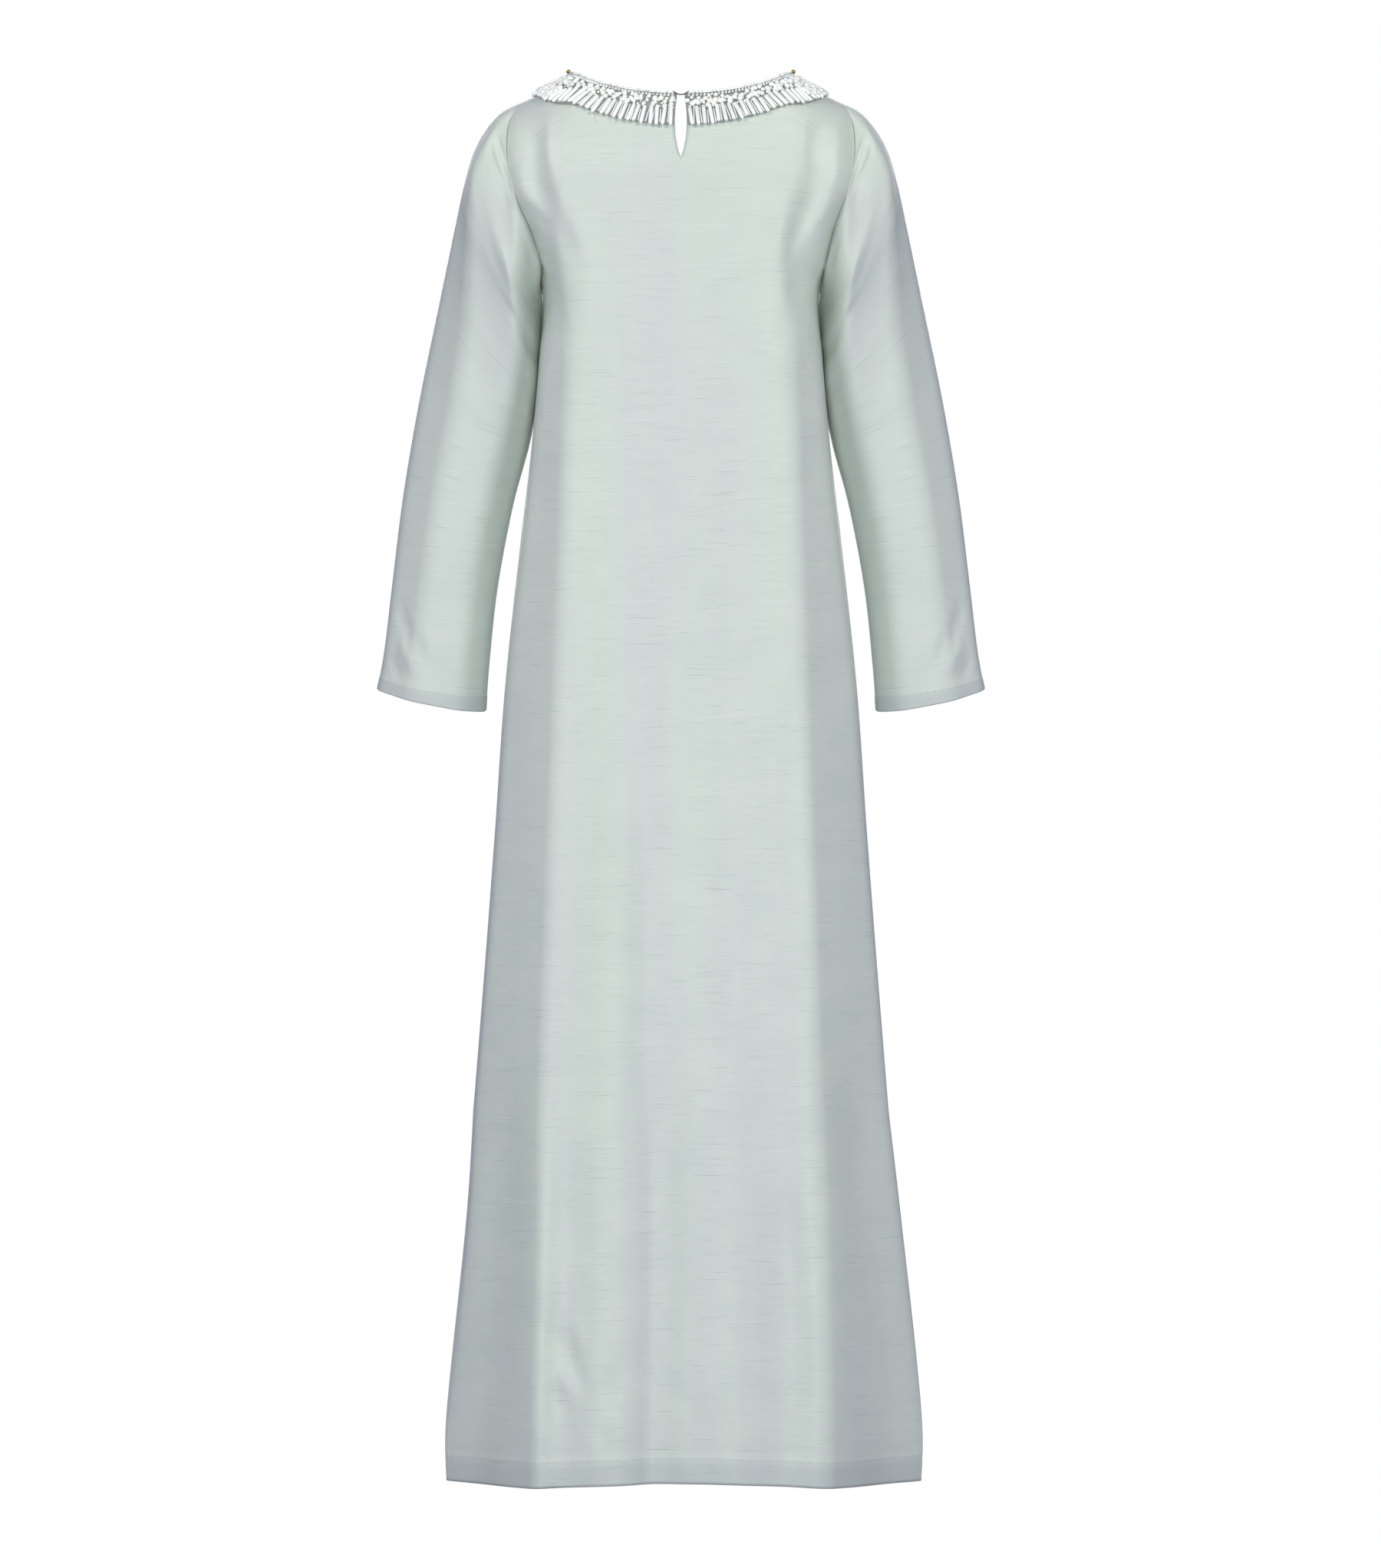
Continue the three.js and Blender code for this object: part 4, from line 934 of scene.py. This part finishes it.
def rim_row(row, width_share, height):
    """One of the two rope-like rows along the rim."""
    n = RIM["count"]
    at = (np.arange(n) + RIM["shift"] * (row + 1)) / (n + 1)
    sizes = np.full((n, 3), RIM["radius"]) * (1 + RIM["spread"] * RNG.standard_normal((n, 1)))
    sizes[:, 0] *= RIM["width"]
    return bead_places(at, np.full(n, width_share), np.full(n, height), sizes, np.full(n, RIM["turn"]))


def loose_rows(kind):
    places = []
    for width_share, n, start in kind["rows"]:
        at = (np.arange(n) + start + kind["along"] * RNG.standard_normal(n)) / n
        width = width_share + kind["across"] * RNG.standard_normal(n)
        radius = kind["radius"] + kind["spread"] * RNG.standard_normal(n)
        sizes = np.stack([radius, radius * (1 + kind["longer"] * RNG.random(n)), radius * kind["flat"]], 1)
        height = radius * kind["flat"] + kind["lift"]
        turn = kind["turn"] * RNG.standard_normal(n)
        places += bead_places(np.clip(at, FIRST_BEAD, LAST_BEAD), width, height, sizes, turn)
    return places


def shoulder_cluster(middle):
    kind, n = SHOULDER_BEADS, SHOULDER_BEADS["count"]
    at = middle + kind["reach"] * (2 * RNG.random(n) - 1)
    width = kind["inner"] + kind["width"] * RNG.random(n)
    radius = kind["radius"] + kind["spread"] * RNG.random(n)
    sizes = np.stack([radius, radius * (1 + kind["longer"] * RNG.random(n)), radius], 1)
    return bead_places(at, width, radius + kind["lift"], sizes, RNG.standard_normal(n))


def round_beads():
    """The rim's rows, then clusters of pearls with smaller beads between them."""
    rim = [place for row, (width, height) in enumerate(RIM_ROWS) for place in rim_row(row, width, height)]
    pearls = loose_rows(PEARLS)
    small = loose_rows(SMALL_BEADS)
    for middle in SHOULDER_CLUSTERS:
        pearls += shoulder_cluster(middle)
    strung("rim_beads", ball(around=8, rings=6), rim, seed_beads)
    strung("pearls", ball(around=12, rings=8), pearls, pearl_beads)
    strung("small_beads", ball(around=8, rings=5), small, seed_beads)


BUGLE_SCATTER = {"along": 0.06, "inner": 0.035, "outer": 0.018, "turn": 0.055}
FIRST_BUGLE, LAST_BUGLE = 0.004, 0.996


def bugle_beads():
    """Long bugles fan out to a scalloped edge, each beside a slimmer one that lies lower."""
    at = (np.arange(BUGLES) + 0.5 + BUGLE_SCATTER["along"] * RNG.standard_normal(BUGLES)) / BUGLES
    for name, shift, radius, height, inner, outer, bead in (
        ("long_bugles", 0, 2.1, 2.4, 0.47, 0.99, ball(around=12, rings=9)),
        ("slim_bugles", 0.5, 0.72, 1.2, 0.5, 0.94, ball(around=8, rings=7)),
    ):
        place = np.clip(at + shift / BUGLES, FIRST_BUGLE, LAST_BUGLE)
        start = inner + BUGLE_SCATTER["inner"] * RNG.standard_normal(BUGLES)
        end = outer + BUGLE_SCATTER["outer"] * RNG.standard_normal(BUGLES)
        half = (end - start) * COLLAR_WIDTH / 2 - radius
        sizes = np.full((BUGLES, 3), 1.0) * radius
        tilt = BUGLE_SCATTER["turn"] * RNG.standard_normal(BUGLES)
        places = bead_places(place, (start + end) / 2, np.full(BUGLES, height), sizes, tilt)
        strung(name, bead, places, bugle_glass, half / radius)


GROUND = {"outer": 0.93, "low": 0.2, "high": 0.35, "length": 900, "rows": 14, "thickness": 0.5}


def collar_ground():
    """The close-sewn thread ground that the beads are caught down to; its dark colour is also painted shade
    in the gaps between them.
    """

    def place(column, row):
        height = mix(GROUND["low"], GROUND["high"], np.sin(row * math.pi))
        points, _ = on_collar(column, GROUND["outer"] * row, height)
        return points, np.stack([column * GROUND["length"], row * COLLAR_WIDTH], 1)

    bm = cloth_grid(place, 2 * BUGLES, GROUND["rows"])
    bmesh.ops.recalc_face_normals(bm, faces=bm.faces)
    piece = finished("collar_ground", bm, replaces=["beaded_collar"], material=bead_thread_and_gap_shade)
    thickened(piece, GROUND["thickness"])


# ---- materials ----
def node(tree, kind, inputs=None, **settings):
    """Adds a node, sets its settings, and sets or links its inputs."""
    made = tree.nodes.new(kind)
    for name, value in settings.items():
        setattr(made, name, value)
    for key, value in (inputs or {}).items():
        if isinstance(value, bpy.types.NodeSocket):
            tree.links.new(value, made.inputs[key])
        else:
            made.inputs[key].default_value = value
    return made


def group_of(name, inputs, outputs):
    tree = bpy.data.node_groups.new(name, "ShaderNodeTree")
    for title, kind, value in inputs:
        made = tree.interface.new_socket(title, in_out="INPUT", socket_type=kind)
        if value is not None:
            made.default_value = value
    for title, kind in outputs:
        tree.interface.new_socket(title, in_out="OUTPUT", socket_type=kind)
    return tree, tree.nodes.new("NodeGroupInput"), tree.nodes.new("NodeGroupOutput")


def math_node(tree, operation, a, b=0.0, clamp=False):
    return node(tree, "ShaderNodeMath", {0: a, 1: b}, operation=operation, use_clamp=clamp).outputs[0]


def streaks(tree, cloth, scale, low, high, detail=2.0):
    """A 0 to 1 mask of streaks: noise stretched by scale, from low to high of its range."""
    stretched = node(tree, "ShaderNodeMapping", {"Vector": cloth, "Scale": scale, "Location": scale})
    noise = node(
        tree, "ShaderNodeTexNoise",
        {"Vector": stretched.outputs[0], "Scale": 1.0, "Detail": detail, "Roughness": 0.5},
    )
    return ranged(tree, noise.outputs[0], low, high)


def ranged(tree, value, low, high, at_low=0.0, at_high=1.0):
    """A value brought to at_low where it is low, and to at_high where it is high."""
    limits = {"Value": value, "From Min": low, "From Max": high, "To Min": at_low, "To Max": at_high}
    return node(tree, "ShaderNodeMapRange", limits).outputs[0]


def slubs(tree, straight, slanted, rows):
    """The strongest of several kinds of slub at each spot."""
    strongest = None
    for slants, scale, low, high, strength in rows:
        mask = streaks(tree, slanted if slants else straight, scale, low, high)
        slub = math_node(tree, "MULTIPLY", mask, strength)
        strongest = slub if strongest is None else math_node(tree, "MAXIMUM", strongest, slub)
    return strongest


def slub_weave_group():
    """Dupion's weave on a cloth laid out in metres, its hem line at height 0: slubs across, a fine warp, slow
    clouds of tone, upright bands of painted shade and sheen, and the turned-up hem, darkened as painted
    shade."""
    tree, given, gives = group_of(
        "slub_weave",
        [("Cloth", "NodeSocketVector", None)],
        [(name, "NodeSocketFloat") for name in ("Dark", "Light", "Clouds", "Painted Shade Bands", "Hem", "Height")],
    )
    cloth = given.outputs["Cloth"]
    waver = node(tree, "ShaderNodeTexNoise", {"Vector": cloth, "Scale": 7.0, "Detail": 1.0}).outputs["Color"]
    sway = node(tree, "ShaderNodeVectorMath", {0: waver, 1: (0, 0.006, 0)}, operation="MULTIPLY").outputs[0]
    bent = node(tree, "ShaderNodeVectorMath", {0: sway, 1: cloth}, operation="ADD").outputs[0]
    slanted = node(tree, "ShaderNodeMapping", {"Vector": bent, "Rotation": (0, 0, SLUB_SLANT)}).outputs[0]
    dark, light = (slubs(tree, bent, slanted, rows) for rows in (DARK_SLUBS, LIGHT_SLUBS))
    weft = streaks(tree, bent, scale=(60, 2300, 5), low=0.25, high=0.75)
    warp = streaks(tree, cloth, scale=(2100, 40, 9), low=0.25, high=0.75)
    clouds = streaks(tree, cloth, scale=(16, 21, 2), low=0.34, high=0.66, detail=4.0)
    # Upright bands of painted shade and sheen, as shallow folds and shot silk would show them.
    painted_shade_bands = streaks(tree, cloth, scale=(15, 1.1, 13), low=0.36, high=0.64, detail=3.0)
    height_up = node(tree, "ShaderNodeSeparateXYZ", {0: cloth}).outputs[1]
    hem = ranged(tree, height_up, 0.0006, -0.0006)
    weft_height = math_node(tree, "MULTIPLY", weft, 0.3)
    warp_height = math_node(tree, "MULTIPLY", warp, 0.16)
    threads = math_node(tree, "ADD", weft_height, warp_height)
    raised = math_node(tree, "MULTIPLY", math_node(tree, "MAXIMUM", dark, light), 0.9)
    height = math_node(tree, "ADD", threads, raised)
    results = {"Dark": dark, "Light": light, "Clouds": clouds, "Painted Shade Bands": painted_shade_bands, "Hem": hem, "Height": height}
    for title, socket in results.items():
        tree.links.new(socket, gives.inputs[title])
    return tree


def new_material(name, constants):
    """A material, its node tree and its shader, with what is the same all over set on the shader."""
    material = bpy.data.materials.new(name)
    material.use_nodes = True
    tree = material.node_tree
    surface = tree.nodes["Principled BSDF"]
    for title, value in constants.items():
        surface.inputs[title].default_value = value
    return material, tree, surface


def object_noise(tree, scale, detail):
    """Noise that stays with the piece."""
    spot = node(tree, "ShaderNodeTexCoord").outputs["Object"]
    return node(tree, "ShaderNodeTexNoise", {"Vector": spot, "Scale": scale, "Detail": detail}).outputs[0]


def relief(tree, surface, height, strength, depth):
    """Raises the surface by a height between 0 and 1, up to a depth in metres."""
    bumps = node(tree, "ShaderNodeBump", {"Height": height, "Strength": strength, "Distance": depth})
    tree.links.new(bumps.outputs[0], surface.inputs["Normal"])


def mix_colour(tree, factor, a, b, blend="MIX"):
    made = node(tree, "ShaderNodeMix", data_type="RGBA", blend_type=blend)
    for index, value in ((0, factor), (6, a), (7, b)):
        if isinstance(value, bpy.types.NodeSocket):
            tree.links.new(value, made.inputs[index])
        else:
            made.inputs[index].default_value = value
    return made.outputs[2]


def silk_material():
    material, tree, surface = new_material("silk_dupion", {
        "Roughness": 0.47,
        "Specular IOR Level": 0.34,
        "Sheen Weight": 0.12,
        "Sheen Roughness": 0.4,
        "Sheen Tint": (0.78, 0.76, 0.86, 1),
    })
    cloth = node(tree, "ShaderNodeUVMap", uv_map="cloth").outputs[0]
    weave = node(tree, "ShaderNodeGroup", node_tree=SLUB_WEAVE)
    tree.links.new(cloth, weave.inputs["Cloth"])
    tone = mix_colour(tree, weave.outputs["Clouds"], SILK_SHADE, SILK_LIGHT)
    # The upright bands mix in painted shade and sheen; the dark and light slubs are the weave's own.
    for mask, strength, colour in SILK_TONES:
        tone = mix_colour(tree, math_node(tree, "MULTIPLY", weave.outputs[mask], strength), tone, colour)
    # Painted shade: the band of the turned-up hem is darkened.
    tone = mix_colour(tree, weave.outputs["Hem"], tone, HEM_PAINTED_SHADE, "MULTIPLY")
    tree.links.new(tone, surface.inputs["Base Color"])
    relief(tree, surface, weave.outputs["Height"], strength=0.3, depth=0.0004)
    return material


def bead_material(name, colours, roughness):
    """Beads whose tones run through three colours, a little clouded within each."""
    material, tree, surface = new_material(name, {"Coat Weight": 0.6})
    tone = node(tree, "ShaderNodeAttribute", attribute_name="tone").outputs["Fac"]
    cloud = object_noise(tree, scale=900.0, detail=1.0)
    clouding = math_node(tree, "MULTIPLY", math_node(tree, "SUBTRACT", cloud, 0.5), 0.5)
    mixed = math_node(tree, "ADD", tone, clouding)
    ramp = node(tree, "ShaderNodeValToRGB", {"Fac": mixed})
    ramp.color_ramp.elements[0].color = colours[0]
    ramp.color_ramp.elements[1].color = colours[2]
    ramp.color_ramp.elements.new(0.45).color = colours[1]
    tree.links.new(ramp.outputs["Color"], surface.inputs["Base Color"])
    rough = ranged(tree, cloud, low=0.3, high=0.7, at_low=roughness * 0.7, at_high=roughness * 1.4)
    tree.links.new(rough, surface.inputs["Roughness"])
    return material


def ground_material():
    """The matt threads under the beads, kept dark so that the gaps between beads show painted shade."""
    material, tree, surface = new_material("bead_ground_and_gap_shade", {"Roughness": 0.7})
    threads = object_noise(tree, scale=1400.0, detail=2.0)
    tree.links.new(mix_colour(tree, threads, GROUND_DARK_AND_GAP_SHADE, GROUND_LIGHT_AND_GAP_SHADE), surface.inputs["Base Color"])
    relief(tree, surface, threads, strength=0.5, depth=0.0004)
    return material


def thread_material(name, dark, light):
    """Twisted thread: fine slanting plies."""
    material, tree, surface = new_material(name, {"Roughness": 0.65, "Sheen Weight": 0.2})
    spot = node(tree, "ShaderNodeTexCoord").outputs["Object"]
    turned = node(tree, "ShaderNodeMapping", {"Vector": spot, "Rotation": (0, 0.7, 0)})
    plies = node(
        tree, "ShaderNodeTexWave",
        {"Vector": turned.outputs[0], "Scale": 420.0, "Distortion": 0.6, "Detail": 1.0},
    ).outputs["Fac"]
    tree.links.new(mix_colour(tree, plies, dark, light), surface.inputs["Base Color"])
    relief(tree, surface, plies, strength=0.8, depth=0.0003)
    return material


def gold_material():
    """Old gold with browner, duller patches."""
    material, tree, surface = new_material("old_gold", {"Metallic": 0.9})
    worn = object_noise(tree, scale=520.0, detail=3.0)
    tree.links.new(mix_colour(tree, worn, GOLD_DARK, GOLD_LIGHT), surface.inputs["Base Color"])
    tree.links.new(math_node(tree, "MULTIPLY", worn, 0.55), surface.inputs["Roughness"])
    return material


SILK_LIGHT = (0.645, 0.72, 0.61, 1)
SILK_SHADE = (0.605, 0.68, 0.584, 1)
# Lavender of the upright bands: painted shade and sheen of shallow folds.
SILK_PAINTED_LAVENDER_SHADE = (0.592, 0.645, 0.592, 1)
SILK_DARK_SLUB = (0.36, 0.42, 0.37, 1)
SILK_LIGHT_SLUB = (0.83, 0.87, 0.82, 1)
# Painted shade over the turned-up hem band.
HEM_PAINTED_SHADE = (0.885, 0.885, 0.915, 1)
SILK_TONES = [("Painted Shade Bands", 0.55, SILK_PAINTED_LAVENDER_SHADE), ("Dark", 0.5, SILK_DARK_SLUB), ("Light", 0.55, SILK_LIGHT_SLUB)]
SLUB_SLANT = 0.07
# Slubs: whether they slant, how often they come along and across the weft a metre, the range of noise they
# rise over, and their strength.
DARK_SLUBS = [
    (False, (15, 880, 1), 0.645, 0.74, 1.0),
    (False, (46, 1100, 3), 0.675, 0.78, 0.9),
    (True, (19, 820, 5), 0.665, 0.74, 1.0),
    (False, (260, 760, 17), 0.77, 0.80, 1.0),
]
LIGHT_SLUBS = [
    (False, (11, 900, 7), 0.64, 0.75, 0.9),
    (False, (42, 1000, 11), 0.66, 0.78, 0.9),
    (False, (5, 1300, 19), 0.665, 0.73, 1.0),
]
BEAD_WHITE = (0.965, 0.99, 0.925, 1)
BEAD_CLEAR = (0.86, 0.895, 0.835, 1)
BEAD_GREY = (0.62, 0.65, 0.61, 1)
PEARL_CREAM = (0.95, 0.94, 0.82, 1)
# Dark grey thread ground: thread colour and painted shade between the beads.
GROUND_DARK_AND_GAP_SHADE = (0.22, 0.235, 0.22, 1)
GROUND_LIGHT_AND_GAP_SHADE = (0.45, 0.475, 0.44, 1)
SEWING_DARK = (0.42, 0.47, 0.42, 1)
SEWING_LIGHT = (0.58, 0.64, 0.57, 1)
LOOP_DARK = (0.05, 0.05, 0.055, 1)
LOOP_LIGHT = (0.16, 0.16, 0.17, 1)
GOLD_DARK = (0.30, 0.17, 0.05, 1)
GOLD_LIGHT = (0.72, 0.50, 0.18, 1)
SLUB_WEAVE = slub_weave_group()
silk = silk_material()
bugle_glass = bead_material("bugle_glass", (BEAD_CLEAR, BEAD_WHITE, BEAD_WHITE), 0.12)
pearl_beads = bead_material("pearl_beads", (BEAD_CLEAR, BEAD_WHITE, PEARL_CREAM), 0.2)
seed_beads = bead_material("seed_beads", (BEAD_GREY, BEAD_CLEAR, BEAD_WHITE), 0.15)
bead_thread_and_gap_shade = ground_material()
sewing_thread = thread_material("sewing_thread", SEWING_DARK, SEWING_LIGHT)

# ---- the pieces ----
back_panel = panel(BACK, "back_of_kaftan", "back_panel")
front_panel = panel(FRONT, "front_of_kaftan", "front_panel")
left_sleeve = sleeve("left_sleeve", "sleeve_left", 1)
right_sleeve = sleeve("right_sleeve", "sleeve_right", -1)
collar_ground()
round_beads()
bugle_beads()
hem_stitches()
keyhole_binding()
old_gold = gold_material()
for node_name, finish in (
    ("neck_loop", thread_material("loop_thread", LOOP_DARK, LOOP_LIGHT)),
    ("neck_bead_left", old_gold),
    ("neck_bead_right", old_gold),
):
    frame["nodes"][node_name].data.materials.clear()
    frame["nodes"][node_name].data.materials.append(finish)

# ---- floor, light and camera ----
CAMERA_DISTANCE = 7.5
CAMERA_HEIGHT = -0.740
CAMERA_ASIDE = -0.010
FRAME_HEIGHT = 1.6352  # what the frame takes in at the garment
FLOOR_Z = -(LENGTH + 9) * MM
FLOOR_RADIUS = 14
FLOOR_COLOUR = (0.33, 0.33, 0.42, 1)
FILL_COLOUR = (0.66, 0.655, 1.0, 1)
FILL_STRENGTH = 0.362
# Softboxes: place and aim in metres, width and height, watts and colour.
SOFTBOXES = [
    ("low_back", (0, 4.4, -0.9), (0, 0, -1.05), (2.0, 0.7), 73, (0.965, 0.97, 1)),
    ("high_back_left", (2.2, 2.4, 1.9), (0.1, 0, -0.15), (1.4, 1.2), 52.5, (0.995, 1, 0.91)),
    ("high_back_right", (-2.2, 2.4, 1.9), (-0.1, 0, -0.15), (1.4, 1.2), 52.5, (0.995, 1, 0.91)),
    ("front", (0, -4.4, 0.6), (0, 0, -0.7), (2.4, 1.8), 105, (1, 1, 1)),
]


def show_apart(tree, lighting, seen, end):
    """Lets one shader light the garment and another be seen."""
    path = node(tree, "ShaderNodeLightPath")
    inputs = {0: path.outputs["Is Camera Ray"], 1: lighting.outputs[0], 2: seen.outputs[0]}
    either = node(tree, "ShaderNodeMixShader", inputs)
    tree.links.new(either.outputs[0], tree.nodes[end].inputs["Surface"])


def floor_material():
    """A pale matt floor that looks evenly lit."""
    constants = {"Base Color": FLOOR_COLOUR, "Roughness": 0.9}
    material, tree, surface = new_material("studio_white", constants)
    glow = node(tree, "ShaderNodeEmission", {"Color": (1, 1, 1, 1), "Strength": 1.0})
    show_apart(tree, surface, glow, "Material Output")
    return material


def floor():
    bm = bmesh.new()
    bmesh.ops.create_circle(bm, cap_ends=True, segments=96, radius=FLOOR_RADIUS)
    bmesh.ops.translate(bm, vec=(0, 0, FLOOR_Z), verts=bm.verts)
    mesh = bpy.data.meshes.new("studio_floor")
    bm.to_mesh(mesh)
    bm.free()
    obj = bpy.data.objects.new("studio_floor", mesh)
    bpy.context.scene.collection.objects.link(obj)
    mesh.materials.append(floor_material())


def softbox(name, place, target, size, power, colour):
    lamp = bpy.data.lights.new(name, "AREA")
    lamp.shape = "RECTANGLE"
    lamp.size, lamp.size_y = size
    lamp.energy = power
    lamp.color = colour
    obj = bpy.data.objects.new(name, lamp)
    obj.location = place
    obj.rotation_euler = (Vector(target) - Vector(place)).to_track_quat("-Z", "Y").to_euler()
    bpy.context.scene.collection.objects.link(obj)


def world():
    sky = bpy.data.worlds.new("studio")
    bpy.context.scene.world = sky
    sky.use_nodes = True
    tree = sky.node_tree
    seen = tree.nodes["Background"]
    seen.inputs["Color"].default_value = (1, 1, 1, 1)
    seen.inputs["Strength"].default_value = 1.0
    fill = node(tree, "ShaderNodeBackground", {"Color": FILL_COLOUR, "Strength": FILL_STRENGTH})
    show_apart(tree, fill, seen, "World Output")


def camera():
    lens = bpy.data.cameras.new("camera")
    lens.sensor_width = 36
    lens.lens = lens.sensor_width * CAMERA_DISTANCE / FRAME_HEIGHT
    lens.clip_end = 60
    obj = bpy.data.objects.new("camera", lens)
    obj.location = (CAMERA_ASIDE, CAMERA_DISTANCE, CAMERA_HEIGHT)
    obj.rotation_euler = (math.radians(90), 0, math.radians(180))
    bpy.context.scene.collection.objects.link(obj)
    bpy.context.scene.camera = obj


floor()
world()
camera()
for light in SOFTBOXES:
    softbox(*light)
bpy.context.scene.view_settings.view_transform = "Standard"
